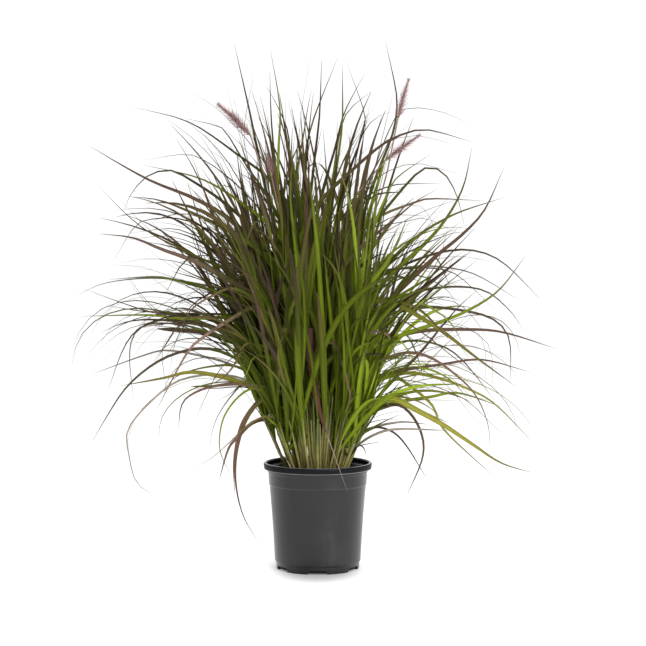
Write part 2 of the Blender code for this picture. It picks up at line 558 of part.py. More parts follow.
def stem_tree(line, radius):
    """A search tree of a culm or stalk with its share of air."""
    return ring_tree(stem_rings(line, [radius + 2 * GAP] * len(line)))


def leaf_foot(shoot, height):
    """Where the shoot's next leaf grows from its culm, wanted at a height."""
    foot, top = shoot["culm"]
    step = LEAF_STEP * len(shoot["leaves"])
    share = (height - foot.z) / (top.z - foot.z)
    return foot.lerp(top, min(max(share, LOWEST_LEAF + step), HIGHEST_LEAF - step))


def eased(path, up):
    """A path whose hidden first stretch leaves its culm upwards and bends gently over."""
    foot, first = path[0], path[1]
    reach = (first - foot).length
    rising = foot + up * (RISING * reach)
    coming = first - (path[2] - first).normalized() * (COMING * reach)
    bent = [foot]
    for step in range(1, HIDDEN_STEPS):
        t = step / HIDDEN_STEPS
        bent.append(foot * (1 - t) ** 3 + rising * 3 * t * (1 - t) ** 2
                    + coming * 3 * t * t * (1 - t) + first * t ** 3)
    return bent + path[1:]


def drawn_blade(shoot, width, depth, points, turn):
    """A leaf laid out on the upright plane, from a shoot to its tip's depth."""
    first = Vector((points[0][0] * CM, points[0][1] * CM, 0))
    start = leaf_foot(shoot, first.y - 4 * CM)
    path = [drawn(start)] + [Vector((x * CM, z * CM, 0)) for x, z in points]
    lengths = [0]
    for one, other in zip(path, path[1:]):
        lengths.append(lengths[-1] + math.hypot(other.x - one.x, other.y - one.y))
    for spot, length in zip(path, lengths):
        share = length / lengths[-1]
        spot.z = start.y + (depth * CM - start.y) * share ** 1.2
    whole = [carried(*spot) for spot in path]
    foot, top = shoot["culm"]
    whole = eased(whole, (top - foot).normalized())
    line = smooth_line(whole, LEAF_SECTIONS + round(turning(whole) / BEND_STEP))
    facing = (whole[len(whole) // 2] - EYE).normalized()
    seen = width * MM
    real = max(seen, 0.5 * (seen + NARROW))
    turn *= max(math.acos(min(seen / real, 1)), LEAST_TURN)
    return {"line": line, "sides": blade_sides(line, facing, turn), "width": real}


def meets(leaf, shoots, own):
    """Whether a leaf would touch any other shoot or its leaves."""
    tree = ring_tree(blade_rings(leaf, GAP))
    for shoot in shoots:
        if shoot is own:
            continue
        if any(tree.overlap(other) for other in shoot["trees"]):
            return True
    return False


def give(shoot, leaf):
    """Add a leaf to a shoot."""
    shoot["leaves"].append(leaf)
    shoot["trees"].append(ring_tree(blade_rings(leaf)))


def nearest_shoots(shoots, points, depth):
    """Shoots with room, nearest first to where a drawn leaf points down to."""
    x, z = points[0][0] * CM, points[0][1] * CM
    reach = FORK_HEIGHT - CLUMP_CENTRE
    goal_x = x * reach / max(z - CLUMP_CENTRE, reach)
    goal_y = 0.2 * depth * CM
    free = [shoot for shoot in shoots if len(shoot["leaves"]) < LEAVES_EACH]
    return sorted(free, key=lambda shoot: math.hypot(shoot["culm"][-1].x - goal_x,
                                                     shoot["culm"][-1].y - goal_y))


def clear_blade(shoots, width, depth, points):
    """A drawn leaf that touches nothing, and the shoot near its foot that it grows from."""
    for shoot in nearest_shoots(shoots, points, depth)[:SHOOTS_TRIED]:
        for shift in DEPTH_SHIFTS:
            for turn in (1, -1):
                leaf = drawn_blade(shoot, width, depth + shift, points, turn)
                if not meets(leaf, shoots, shoot):
                    return shoot, leaf
    raise ValueError(f"the leaf that starts at {points[0]} finds no clear place")


def place_drawn_leaves(shoots):
    """Give every drawn leaf to a shoot."""
    for width, depth, points in LEAVES:
        give(*clear_blade(shoots, width, depth, points))


def arching_blade(shoot, chance):
    """A leaf that rises from its shoot and arches over, towards the front or the back."""
    start = leaf_foot(shoot, chance.uniform(20, 28) * CM)
    front = chance.random() < 0.5
    bearing = chance.uniform(-1.0, 1.0) + (-math.pi / 2 if front else math.pi / 2)
    length = chance.uniform(0.34, 0.52)
    rise = chance.uniform(1.15, 1.42)
    droop = chance.uniform(0.4, 1.6)
    outward = Vector((math.cos(bearing), math.sin(bearing), 0))
    line = [start]
    for step in range(8):
        pitch = rise - droop * ((step + 0.5) / 8) ** 1.5
        stride = length / 8
        line.append(line[-1] + outward * (stride * math.cos(pitch))
                    + Vector((0, 0, stride * math.sin(pitch))))
    line = smooth_line(line, 5)
    facing = Vector((0, 0, 1)).lerp(outward, 0.6).normalized()
    width = chance.uniform(5, 8.5) * MM
    return {"line": line, "width": width,
            "sides": blade_sides(line, facing, chance.uniform(-0.5, 0.5))}


def fits(leaf):
    """Whether an arching leaf stays inside the clump's outline and off the pot's front."""
    for share, point in enumerate(leaf["line"]):
        seen = drawn(point)
        outside = (seen.x / 0.27) ** 2 + ((seen.y - 0.40) / 0.31) ** 2 > 1
        if share > 2 and (outside or seen.y < 0.27 or abs(point.y) > 0.34):
            return False
    return True


def place_arching_leaves(shoots):
    """Fill the front and back of the clump, where the drawn leaves leave room."""
    chance = random.Random(ARCHING_SEED)
    placed = 0
    for _ in range(ARCHING_TRIES):
        if placed == ARCHING_LEAVES:
            break
        shoot = chance.choice(sorted(shoots, key=lambda shoot: len(shoot["leaves"]))[:BAREST])
        leaf = arching_blade(shoot, chance)
        if fits(leaf) and not meets(leaf, shoots, shoot):
            give(shoot, leaf)
            placed += 1


def fuse(thing, others):
    """Join other solids to a thing, one after the other, into one closed solid."""
    for other in others:
        join = thing.modifiers.new("Join", 'BOOLEAN')
        join.operation = 'UNION'
        join.object = other
    bpy.context.view_layer.update()
    evaluated = thing.evaluated_get(bpy.context.evaluated_depsgraph_get())
    mesh = bpy.data.meshes.new_from_object(evaluated)
    thing.modifiers.clear()
    old = thing.data
    thing.data = mesh
    bpy.data.meshes.remove(old)
    for other in others:
        bpy.data.objects.remove(other, do_unlink=True)


def build_shoot(shoot, material, collection):
    """One tiller: the culm with its blades joined to it."""
    rings = stem_rings(shoot["culm"], (CULM_FOOT_RADIUS, CULM_TOP_RADIUS))
    thing = loft(shoot["name"], rings, collection)
    blades = [loft(f"blade_{index}", blade_rings(leaf), collection)
              for index, leaf in enumerate(shoot["leaves"])]
    fuse(thing, blades)
    thing.data.materials.append(material)


# ---------------------------------------------------------------------- flowering shoots


def flower_lines(depth, stalk, spike, foot_x, foot_y):
    """The line of a flowering stalk from its foot, and the line of its spike."""
    foot = Vector((foot_x, foot_y, soil_height(math.hypot(foot_x, foot_y)) + FOOT_LIFT))
    whole = [(x * CM, z * CM) for x, z in stalk + spike]
    path = [foot] + [carried(x, z, foot_y + (depth * CM - foot_y) * z / whole[-1][1])
                     for x, z in whole]
    joint = len(stalk) + 1
    return (smooth_line(path[:joint], STALK_SECTIONS),
            smooth_line(path[joint - 1:], SPIKE_SECTIONS))


def clear_flower(shoots, flower, spot):
    """A flowering shoot that touches nothing, with its foot as near its spot as can be."""
    taken = [tree for shoot in shoots for tree in shoot["trees"]]
    for step in range(FOOT_TRIES):
        distance = FOOT_STRIDE * math.sqrt(step)
        lines = flower_lines(*flower, spot[0] + distance * math.cos(step * GOLDEN_ANGLE),
                             spot[1] + distance * math.sin(step * GOLDEN_ANGLE))
        trees = [stem_tree(lines[0], 1.5 * STALK_RADIUS), stem_tree(lines[1], SPIKE_RADIUS)]
        if not any(tree.overlap(other) for tree in trees for other in taken):
            return lines, trees
    raise ValueError(f"the flowering shoot at {spot} finds no clear place")


def place_flowers(shoots):
    """Place the flowering shoots among the others. They have no room for leaves."""
    flowers = []
    for flower, spot in zip(FLOWERS, FLOWER_FEET):
        lines, trees = clear_flower(shoots, flower, spot)
        shoots.append({"name": "flower", "culm": lines[0], "trees": trees,
                       "leaves": [None] * LEAVES_EACH})
        flowers.append(lines)
    return flowers


def spike_radius(share):
    """Radius of a flower spike along its length."""
    return SPIKE_RADIUS * (0.35 + 0.65 * math.sin(math.pi * min(share * 1.25, 1) ** 0.6)) * (
        1 - 0.55 * share)


def build_flower(number, stalk, spike, material, collection):
    """A flowering shoot: a stalk that swells into its spike."""
    line = stalk + spike[1:]
    radii = [STALK_RADIUS * (1.5 - 0.5 * index / (len(stalk) - 1)) for index in range(len(stalk))]
    radii += [spike_radius(index / (len(spike) - 1)) for index in range(1, len(spike))]
    thing = loft(f"flower_stem_{number + 1}", stem_rings(line, radii), collection)
    thing.data.materials.append(material)


# ---------------------------------------------------------------------- the whole plant


def main():
    clear_scene()
    plant = new_collection("potted_fountain_grass_clump")
    cutters = new_collection("cutters")
    build_pot(plant, cutters)
    build_soil(plant)
    shoots = make_shoots()
    flowers = place_flowers(shoots)
    place_drawn_leaves(shoots)
    place_arching_leaves(shoots)
    green = plain_material("grass_leaf", (0.055, 0.085, 0.020), 0.55)
    mauve = plain_material("flower_spike", (0.25, 0.13, 0.12), 0.8)
    for shoot in shoots[:TILLERS]:
        build_shoot(shoot, green, plant)
    for number, (stalk, spike) in enumerate(flowers):
        build_flower(number, stalk, spike, mauve, plant)


main()
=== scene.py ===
"""Potted fountain grass clump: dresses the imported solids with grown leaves, pot, soil and studio."""
import functools
import itertools
import math
import random

import bmesh
import bpy
import numpy as np
from mathutils import Matrix, Vector, noise
from mathutils.bvhtree import BVHTree


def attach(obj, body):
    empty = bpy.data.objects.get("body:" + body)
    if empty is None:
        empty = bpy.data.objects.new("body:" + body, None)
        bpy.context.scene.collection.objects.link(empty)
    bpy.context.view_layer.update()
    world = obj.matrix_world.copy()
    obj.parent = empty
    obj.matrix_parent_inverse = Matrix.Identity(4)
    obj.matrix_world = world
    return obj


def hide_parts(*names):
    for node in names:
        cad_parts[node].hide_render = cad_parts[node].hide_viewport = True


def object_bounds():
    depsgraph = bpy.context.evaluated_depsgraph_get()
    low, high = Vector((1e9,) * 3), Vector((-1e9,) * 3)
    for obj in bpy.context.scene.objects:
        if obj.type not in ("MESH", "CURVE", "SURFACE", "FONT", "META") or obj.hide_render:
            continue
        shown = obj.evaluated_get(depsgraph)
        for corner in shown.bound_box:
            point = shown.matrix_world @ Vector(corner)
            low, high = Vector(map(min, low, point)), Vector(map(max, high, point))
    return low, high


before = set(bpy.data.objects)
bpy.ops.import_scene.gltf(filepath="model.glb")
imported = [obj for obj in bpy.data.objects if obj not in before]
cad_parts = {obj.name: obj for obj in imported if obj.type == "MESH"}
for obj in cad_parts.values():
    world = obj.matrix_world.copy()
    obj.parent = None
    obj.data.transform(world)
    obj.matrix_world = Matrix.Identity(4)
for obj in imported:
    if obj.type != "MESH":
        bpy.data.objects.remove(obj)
CAD_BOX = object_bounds()

bl_info = {
    "name": "Potted fountain grass clump",
    "version": (1, 0, 0),
    "blender": (4, 5, 0),
    "location": "View3D > Sidebar > Grass",
    "description": "Builds a potted clump of purple fountain grass and its studio",
    "category": "Object",
}

CM = 0.01
MM = 0.001
GAP = 0.3 * MM

# Pot, as in the part's source
POT_HEIGHT = 162 * MM
RIM_RADIUS = 82.5 * MM
RIM_ROLL = 2.5 * MM
RIM_DEPTH = 10 * MM
RIM_TUCK = 0.8 * MM
COLLAR_TOP_RADIUS = 76.6 * MM
COLLAR_STEP_HEIGHT = 147 * MM
BAND_HEIGHT = 129 * MM
BAND_RADIUS = 74.4 * MM
LEDGE = 0.8 * MM
EDGE = 0.5 * MM
FOOT_HEIGHT = 12 * MM
FOOT_RADIUS = 63.6 * MM
WALL = 1.6 * MM
FLOOR = 2 * MM
WALL_TAPER = ((12 * MM, 65.4 * MM), (39 * MM, 66.8 * MM), (78 * MM, 69.2 * MM), (128 * MM, 73.6 * MM))
NOTCHES = 6
NOTCH_WIDTH = 28.6 * MM
NOTCH_HEIGHT = 6 * MM
NOTCH_DEPTH = 9 * MM
NOTCH_REACH = 4 * MM

# Soil
SOIL_MIDDLE = 147 * MM
SOIL_EDGE = 144.5 * MM

# Shoots, as in the part's source
TILLERS = 40
CLUMP_RADIUS = 46 * MM
FAN = 1.85
CULM_TOP_INNER = 285 * MM
CULM_TOP_OUTER = 232 * MM
CULM_FOOT_RADIUS = 2.7 * MM
CULM_TOP_RADIUS = 1.7 * MM
FOOT_LIFT = 1.3 * MM
STEM_SIDES = 5
STEM_TWIST = 0.3
LEAVES_EACH = 4
LEAF_STEP = 0.07
LOWEST_LEAF = 0.3
HIGHEST_LEAF = 0.96
GOLDEN_ANGLE = math.radians(137.508)
FORK_HEIGHT = 240 * MM
CLUMP_CENTRE = 30 * MM
SHOOTS_TRIED = 9
DEPTH_SHIFTS = (0, 1.5, -1.5, 3, -3, 4.5, -4.5)
KEEL_SHARE = 0.11
KEEL_LEAST = 0.35 * MM
NARROW = 6 * MM
LEAST_TURN = 0.12
LEAF_SECTIONS = 2
BEND_STEP = 0.95
RISING = 0.42
COMING = 0.36
HIDDEN_STEPS = 5
ARCHING_LEAVES = 24
ARCHING_TRIES = 1500
ARCHING_SEED = 11
ARCHING_STRIDES = 8
ARCHING_MIDDLE = 0.40                   # arching leaves stay inside this oval, as seen
ARCHING_WIDE = 0.27
ARCHING_HIGH = 0.31
ARCHING_LOWEST = 0.27
ARCHING_DEEP = 0.34
BAREST = 10
EYE = Vector((8 * MM, -2.87, 0.523))    # where the photograph was taken from
PITCH = math.radians(2.976)             # how far the camera looks down
LENS = 105.52                           # millimetres, on a 36 mm wide sensor

# Leaf blades, each: width in millimetres, depth of the tip behind (+) or before (-) the axis in
# centimetres, and from foot to tip x and z of the midrib's points in centimetres on the upright
# plane.
LEAVES = (
    # upper left
    (6, 6, -8.5, 60.2, -11.5, 62.4, -15, 65, -18, 67, -21.5, 68.5, -28, 70),
    (4.5, 3, -7, 59.8, -9, 63, -12, 66.6, -15.5, 70, -20, 72.8),
    (3.2, -3, -8.5, 58, -10.4, 60.6, -13, 64.9, -13.9, 66.3, -15.2, 67.2, -20, 68.3),
    (8, -8, -10, 50, -14, 53.6, -19, 56.4, -25, 58.8, -30, 61.5, -34.5, 64.2),
    (5.5, -2, -8, 52.8, -11, 55.2, -15.5, 58.2, -19.5, 59.8, -26.5, 61.3),
    (5.5, 5, -10.5, 52.3, -14.5, 55.9, -19, 58.9, -22.3, 60.5, -25.8, 59.6, -28.3, 56.8, -29.2, 54.6),
    (3, 9, -9.5, 55.5, -13.5, 59.4, -16.5, 61.6, -19.8, 62.9, -26.5, 62),
    (8, -10, -11, 50, -15, 52.2, -19.5, 54.3, -24, 56, -28.3, 56.5),
    # left
    (5, -5, -12, 44.5, -16, 46.4, -20, 48.3, -25, 50.8, -28.8, 53.7, -33.3, 58.3),
    (3.5, 8, -13, 49.5, -17.5, 52, -21, 53.2, -24.5, 53.2, -27.5, 52.2, -31, 46.8),
    (9, -12, -10.5, 42, -14.5, 44.5, -19, 46.9, -23.5, 48.5, -28, 50.3, -33, 50.9),
    (3, 12, -12, 47, -16, 49.6, -19, 50.8, -22.3, 51.7, -28.5, 51),
    (3, 4, -11, 43.5, -14, 46, -17, 47.9, -20, 49.4, -23.2, 50.3),
    (3, 14, -11.5, 45.3, -14.5, 47.6, -18, 49.6, -21.5, 51.2),
    (3, 2, -11, 42, -14.5, 42.8, -17.5, 43.9, -22.1, 45.2),
    (4.5, -2, -10, 41, -14, 42.5, -17, 43.9, -20, 45.3, -22.5, 47),
    (5.5, -6, -11, 40.2, -15.7, 42.2, -20.5, 43.6, -24.5, 44.4, -31.5, 44),
    (2.8, 10, -12, 41.8, -18, 43.3, -24.5, 44.2, -32, 43.5, -36.5, 41.6),
    (3, -14, -12.5, 36, -15.5, 38, -21, 41.2, -24, 43.4, -27.2, 45.6),
    (5.5, 3, -12, 38.2, -18, 38.3, -24.5, 38.9, -29, 40.2, -35.8, 42.7),
    (3, 12, -13, 38.6, -20, 38.8, -26, 39.1, -32, 40),
    (6, -5, -10, 38.6, -15, 38.2, -21, 38.1, -26, 38.6, -35.8, 38.4),
    (4, 8, -12, 35.4, -17, 37, -21, 37.6, -26, 37.9, -29.5, 37.4, -33, 35.9),
    (3.2, -9, -14, 36.2, -20.5, 37.5, -24, 37.8, -27.3, 36.4, -29.6, 33.3, -32, 26.8),
    (2.6, 14, -14, 35.2, -20, 37, -24.8, 37.3, -27.6, 36, -28.6, 32.5, -28, 25.5),
    (4, 0, -12, 34.5, -17, 36.2, -21, 36.6, -28, 37.3),
    (5.5, -7, -11, 33.8, -15, 35.4, -18.8, 36.1, -24.3, 36.5),
    (3, -12, -13, 35.6, -18, 37.4, -21, 37, -22.8, 34.6, -24.8, 31.2),
    (3, 9, -13.5, 36.6, -18.5, 38.2, -21, 35.8, -22, 33, -22.4, 30.2),
    (6.5, -16, -6, 38, -9.3, 39.9, -13.8, 37.6, -17.3, 35.3, -20, 32.6, -24.6, 24),
    (6, -15, -9.5, 41, -13, 42.7, -16, 41.5, -18.6, 40, -20, 38.2, -21, 35.5),
    (3.5, 10, -13, 40, -17, 41.2, -19.9, 41, -22.3, 40, -23.6, 38.6),
    # lower left
    (7, -6, -8, 26.9, -11.5, 28.3, -15.5, 29.4, -19.5, 29.9, -23.5, 29, -30, 27.8),
    (4.5, 6, -9, 29.6, -13, 30.9, -16, 30.8, -19, 30.2, -21.5, 29.2, -23.5, 27.2),
    (4, -10, -9.5, 30.2, -12, 31.8, -16, 33.4, -20, 33.2, -24.5, 31.4, -29, 27.7, -32.3, 22.8,
     -34.6, 18.8),
    (2.5, 9, -8.5, 28.8, -12.5, 30.8, -16.5, 32.1, -22.5, 33.2, -26, 32.6, -34.3, 29.6),
    (2.5, -3, -10, 28.5, -14, 29.5, -18.5, 29.3, -22.3, 28, -26.7, 24.1, -29, 20.8, -28.8, 17.5,
     -27.6, 13, -24.1, 10.6),
    (4.5, -8, -8, 27.6, -12.5, 28.1, -16.5, 27.6, -19.5, 26.3, -20.8, 24.6, -21.2, 21.2),
    (4.2, 5, -7.5, 27, -11.5, 28, -15.5, 27.8, -19.3, 27.7),
    (4.5, -13, -9, 34, -11, 34.2, -12.5, 31.3, -14, 29.4, -15.5, 28.4, -17.3, 27.7),
    (3.5, 7, -7.5, 26.5, -10.8, 28.2, -13.2, 26.2, -15.4, 22.8, -16.3, 19.5, -16.3, 16.5),
    (3.5, -6, -6.8, 25.5, -9.5, 27.4, -12, 26.2, -14.3, 23, -15, 19, -14.3, 16.2, -12.8, 13.6),
    (6, -3, -6, 24.8, -8, 26.1, -10.3, 24, -11.9, 21, -12.8, 16, -12.6, 10.5),
    (5, -9, -6.5, 25.5, -8.3, 25.8, -10.8, 22.8, -12.3, 18, -12.5, 13, -11.4, 8, -9.2, 4.1),
    (6, 2, -5.5, 21.8, -8, 22.7, -10.2, 22, -12.1, 20, -13.6, 18.2, -15.1, 13.2),
    (4, -12, -5.5, 22.6, -8.2, 23.1, -11, 21.5, -13.2, 19.4, -16.3, 16.7, -20, 14.7),
    (4.5, -6, -4.9, 18.5, -5.6, 21, -7.4, 22.7, -9.4, 24.3),
    (4, 3, -4.6, 18.2, -5.2, 20, -6.5, 21.5, -8, 22.2),
    # top
    (5, 8, -7.5, 56, -9.3, 64.5, -10.1, 68.5, -11, 72.6, -12.6, 79.6),
    (3.5, 14, -4.5, 54, -6, 61, -7.5, 66.3, -9, 70, -11.2, 74.3),
    (5.2, -4, -5.6, 50, -6, 57, -5.9, 64, -5.7, 70, -7.1, 78.5),
    (4, 6, -4.2, 54, -4.3, 62.3, -4.5, 66.3, -6.2, 70.4, -7.9, 73.4),
    (2.6, 12, -2.5, 56, -2.8, 65, -2.3, 70.5, -0.7, 79.6),
    (6, -2, -3.3, 55, -3, 61, -2.1, 66, -1.5, 69.9, -0.9, 72.7),
    (5, 10, -2.3, 56, -1.8, 63.3, -0.9, 67.3, 0.5, 71.2, 3.1, 77.6),
    (4.5, 3, 3, 52, 4.7, 59.8, 6.4, 64.8, 7.1, 67.3, 6.9, 69.7, 4.2, 77.1),
    (6, 7, -0.5, 52, 1.2, 59, 2.4, 63, 3.3, 66.6, 4.2, 69.6, 7, 74.9),
    (4.5, 13, 1.4, 54, 2.4, 60, 3.1, 65, 4.1, 68.6, 5.8, 70.6, 8.2, 72.4),
    (6, -5, 2.6, 52, 4.4, 59.5, 5.9, 63.5, 7.1, 66.5, 8.8, 68.4, 11, 69.3),
    (5, 9, 7, 54, 9, 60, 11.2, 65.6, 11.9, 69.2, 11.8, 72.5, 10.2, 79.9),
    (6.5, -9, -0.5, 54.5, 1.8, 57.4, 5.3, 60.6, 9.5, 64.2, 12.5, 65.8, 16.5, 66.6, 23.2, 64.8),
    (5.5, 2, 5, 54, 7.5, 58.8, 9.6, 62.6, 11.8, 67),
    (2.5, 15, 9, 62, 11, 67, 12.6, 69.4, 15, 69.9, 19, 69.2, 23.1, 67.4),
    (6, -8, -3.5, 50, -4.1, 56, -4, 60, -3.5, 65.8),
    # upper right
    (5, -2, 7, 50.5, 10, 54.3, 13, 57.9, 15, 60, 17, 61, 19.3, 59.8, 21.1, 56.5, 22.1, 52.4),
    (3.2, 8, 7, 56.3, 10, 57.8, 12.5, 58.4, 18.5, 58.5),
    (6, -6, 7, 47.5, 8.6, 52.3, 10.4, 56.7, 12, 59.4, 17, 62.9),
    (6, 6, 6.5, 51, 9.5, 53.6, 14, 55.4, 17, 56.2, 25, 55.9),
    (8, -10, 5.5, 47.8, 8.8, 50.8, 12, 53.4, 15, 55.9, 18, 57.6),
    (7, -3, 9, 44, 12, 47.8, 16, 51.2, 19, 53, 22, 54.4, 28.2, 56.4),
    (7.5, -9, 9, 39, 13.5, 43.4, 18, 47.6, 22, 50.9, 25.3, 54.6, 28.1, 60.8),
    (8, 5, 9.5, 43, 12, 45.6, 16.2, 49.4, 19.3, 53, 22, 58, 23.3, 64),
    (3, 12, 7.5, 49.3, 11, 51.6, 16, 54.3, 20.8, 56, 25, 57.8),
    (3.2, -13, 7, 51.5, 10, 52.2, 13.5, 52.8, 16.5, 53.2, 22, 50.5),
    # right
    (3.6, 7, 10.5, 45, 14.8, 46.9, 19, 48.2, 23.5, 48.4, 28, 46.6, 33.8, 41),
    (7, -12, 9.5, 39.6, 13, 41.9, 17.2, 44.5, 19.8, 46.7, 22.2, 48.3),
    (3.5, 10, 9.5, 39.8, 14.5, 42, 20.5, 42.9, 25.5, 42.2, 29.2, 39.2, 31.3, 36.2),
    (5, -5, 9.5, 45.2, 14.5, 45.7, 18.3, 45.6, 21.5, 44.4, 27, 39.3),
    (2.8, 14, 11, 45.3, 15.5, 46, 19.5, 45.8, 24, 44.7, 30.5, 40.9),
    (3, -10, 10.5, 43.2, 14.3, 44.6, 17, 44, 19.7, 42.3, 21.3, 39.8),
    (4.5, 3, 8.5, 37.8, 13.5, 39.4, 17.5, 39.8, 23.5, 39, 27, 37.7, 29.1, 34.8, 29.3, 28.6),
    (6, -8, 9, 34, 14, 36, 18.5, 37.5, 23, 39.4, 27.5, 42.4, 31.5, 47.6),
    (5, -10, 9.5, 26.5, 12.3, 29.6, 15.5, 32.8, 20.8, 39.2, 24.2, 42.4),
    (6, 0, 8, 33.4, 12, 35.3, 16, 36.2, 22, 36.4, 28, 36, 36.2, 33.5),
    (8, -14, 9, 40.8, 12.5, 40, 16, 38, 19.5, 35.7, 24, 32.2, 30, 27.8),
    (3.2, 9, 9.5, 33.6, 14, 34.7, 18.5, 34, 22, 31.7, 27, 25.5),
    (3.6, -4, 8, 29, 13, 30.2, 19, 31.1, 25, 31.8, 32.3, 29.9),
    # lower right
    (5, -11, 9, 31.4, 13.5, 32.9, 17.4, 32, 21.2, 29.3, 24, 26.4, 25.9, 22, 26.2, 17.8),
    (5.5, -7, 9, 28.6, 13.5, 29.8, 18, 29.1, 22.5, 27.5, 27, 25, 33.3, 18.6),
    (4, 11, 8, 24, 12, 25.3, 17, 26.1, 21.5, 26.7, 28, 24.6),
    (7, -5, 7, 24, 10, 25.8, 13, 27.1, 16.5, 27.9, 23, 28.1),
    (5, 6, 8.5, 28.5, 11, 29.6, 14.8, 27.2, 17.6, 24.6, 19.3, 21, 27.2, 13.6),
    (8.5, -12, 8, 24.9, 11.5, 25.8, 14.7, 24.3, 19.2, 21.8, 23.7, 18.8, 28, 16, 33.2, 14.4),
    (3.6, -3, 7, 24, 10, 24.8, 13, 24.6, 15.5, 21.3, 16, 17, 13.4, 10.6),
    (2.6, 4, 5.9, 19.3, 8, 21.4, 11, 21, 13.4, 18.8, 16.8, 13.3),
    (2.6, -8, 5.8, 18.6, 8.5, 20.3, 12, 21.2, 19.8, 21),
    (2.8, 9, 6.2, 20.2, 9, 21.6, 13, 22.3, 17, 21.9),
    (2.5, 2, 5.2, 17.8, 6.2, 18.6, 8.5, 19.1, 10.4, 19.3),
    (2.4, -4, 5, 17.2, 6.2, 18.7, 7, 18.3, 7.4, 17.2),
    (4.5, -2, 5.8, 20, 8.3, 21.4, 10.6, 22.6, 13.2, 23.7),
    (3.6, 8, 6.5, 22.6, 9.8, 24.4, 13.5, 24.8, 20.2, 22),
    # front
    (8, -12, -1.2, 36.2, -1.3, 33, -0.7, 29, 0, 25, 1, 21.5, 2.5, 17.3, 4.6, 11.4),
    (5, -13, 1.2, 34.2, 2.3, 34.5, 3.6, 32, 4.6, 28, 4.9, 26, 4, 22.2),
    (6, -15, -3.6, 39.2, -4.5, 38.6, -5.3, 35.5, -5.8, 32, -5.9, 26.5),
    (6.5, -9, -1.8, 30.4, -4, 33, -5.8, 36, -7.5, 39.5, -8.4, 43, -9.3, 50),
    (5, -5, 0.3, 30, 0.3, 36, -0.3, 40, -0.5, 46, -0.6, 52),
    (5, -7, 2.8, 30, 2.6, 33, 2, 38, 1.6, 42, 0.8, 50),
    (8, -6, 3, 30, 4, 35, 5.4, 40, 6.6, 44.5, 7, 50, 7.6, 55),
    (5, -11, 2, 32, 5, 34.6, 8.5, 36, 10.7, 35.5, 11.6, 33, 11.9, 30.2),
    (4, -9, 5, 23, 6.2, 27.5, 6.9, 31.2, 8, 33.9, 9.8, 33.8),
)

# Flowering shoots: depth, the stalk's points up to the foot of the spike, and the spike's tip
FLOWERS = (
    (2, ((-6.5, 52), (-7.2, 58.5), (-8, 62.3), (-10.2, 65.8)), ((-12.5, 68.2), (-15, 70.4))),
    (-4, ((6.5, 50), (9.4, 56), (10.6, 62), (12.1, 68.2)), ((12.9, 71.4), (13.7, 74.1))),
    (4, ((3.5, 50), (6.2, 57), (8.3, 60.2), (10.2, 62)), ((12.6, 63.8), (15.4, 65.8))),
    (-6, ((-5, 50), (-6.3, 56), (-7, 59.6)), ((-7.3, 61.2), (-7.6, 62.9))),
)
FLOWER_FEET = ((-14 * MM, 2 * MM), (17 * MM, -9 * MM), (11 * MM, 14 * MM), (-8 * MM, -15 * MM))
STALK_RADIUS = 1.3 * MM
STALK_SECTIONS = 5
SPIKE_RADIUS = 3.6 * MM
SPIKE_SECTIONS = 4
FOOT_TRIES = 80
FOOT_STRIDE = 2 * MM


# Tone of each drawn leaf, in the order of LEAVES
LEAF_TONES = ("ppkpgkkb" "okmkkpkbghpmkykkhgkkkmmk" "ookhhpgbkgppmbyy" "kbykhobkkokkpphg" "kkymmopgkk"
              "kgkkhkkgppokp" "pogyookkhhkkok" "wmmgyyyms")
ARCHING_TONES = "gpgkgbgy"
BLUNT_LEAVES = (14, 26, 38)             # places in LEAVES of those that are cut off short
DRY_TIPPED = (101,)

# ---- lines in space


def drawn(point):
    """Where a point of the plant is seen on the upright plane: (x, z, depth)."""
    share = -EYE.y / (point.y - EYE.y)
    seen = EYE + (point - EYE) * share
    return Vector((seen.x, seen.z, point.y))


def carried(x, z, depth):
    """The point at a depth that is seen at (x, z) on the upright plane."""
    share = (depth - EYE.y) / -EYE.y
    return EYE + (Vector((x, 0, z)) - EYE) * share


def smooth_line(points, count):
    """Evenly spaced points on the smooth curve through the given ones."""
    ends = [2 * points[0] - points[1]] + list(points) + [2 * points[-1] - points[-2]]
    fine = []
    for before, start, end, after in zip(ends, ends[1:], ends[2:], ends[3:]):
        for step in range(8):
            t = step / 8
            fine.append(0.5 * (2 * start + (end - before) * t
                               + (2 * before - 5 * start + 4 * end - after) * t * t
                               + (3 * start - before - 3 * end + after) * t ** 3))
    fine.append(points[-1].copy())
    lengths = [0, *itertools.accumulate((other - one).length for one, other in zip(fine, fine[1:]))]
    line = []
    index = 0
    for goal in (lengths[-1] * step / count for step in range(count + 1)):
        while index < len(fine) - 2 and lengths[index + 1] < goal:
            index += 1
        span = lengths[index + 1] - lengths[index]
        line.append(fine[index].lerp(fine[index + 1], min((goal - lengths[index]) / span, 1)))
    return line


def bow(start, rising, coming, end, steps):
    """A curve that leaves its start towards one point and reaches its end from another."""
    return [start * (1 - t) ** 3 + rising * 3 * t * (1 - t) ** 2 + coming * 3 * t * t * (1 - t)
            + end * t ** 3 for t in (step / steps for step in range(steps + 1))]


def turning(points):
    """The angle that a line turns through from end to end."""
    return sum((two - one).angle(three - two, 0)
               for one, two, three in zip(points, points[1:], points[2:]))


def heading(line, index):
    """The direction of a line at one of its points."""
    return (line[min(index + 1, len(line) - 1)] - line[max(index - 1, 0)]).normalized()


def wall_radius(height):
    """Outer radius of the pot's wall at a height between the foot and the ledge."""
    for (low, wide_low), (high, wide_high) in zip(WALL_TAPER, WALL_TAPER[1:]):
        if height <= high:
            share = (height - low) / (high - low)
            return wide_low + share * (wide_high - wide_low)
    return WALL_TAPER[-1][1]


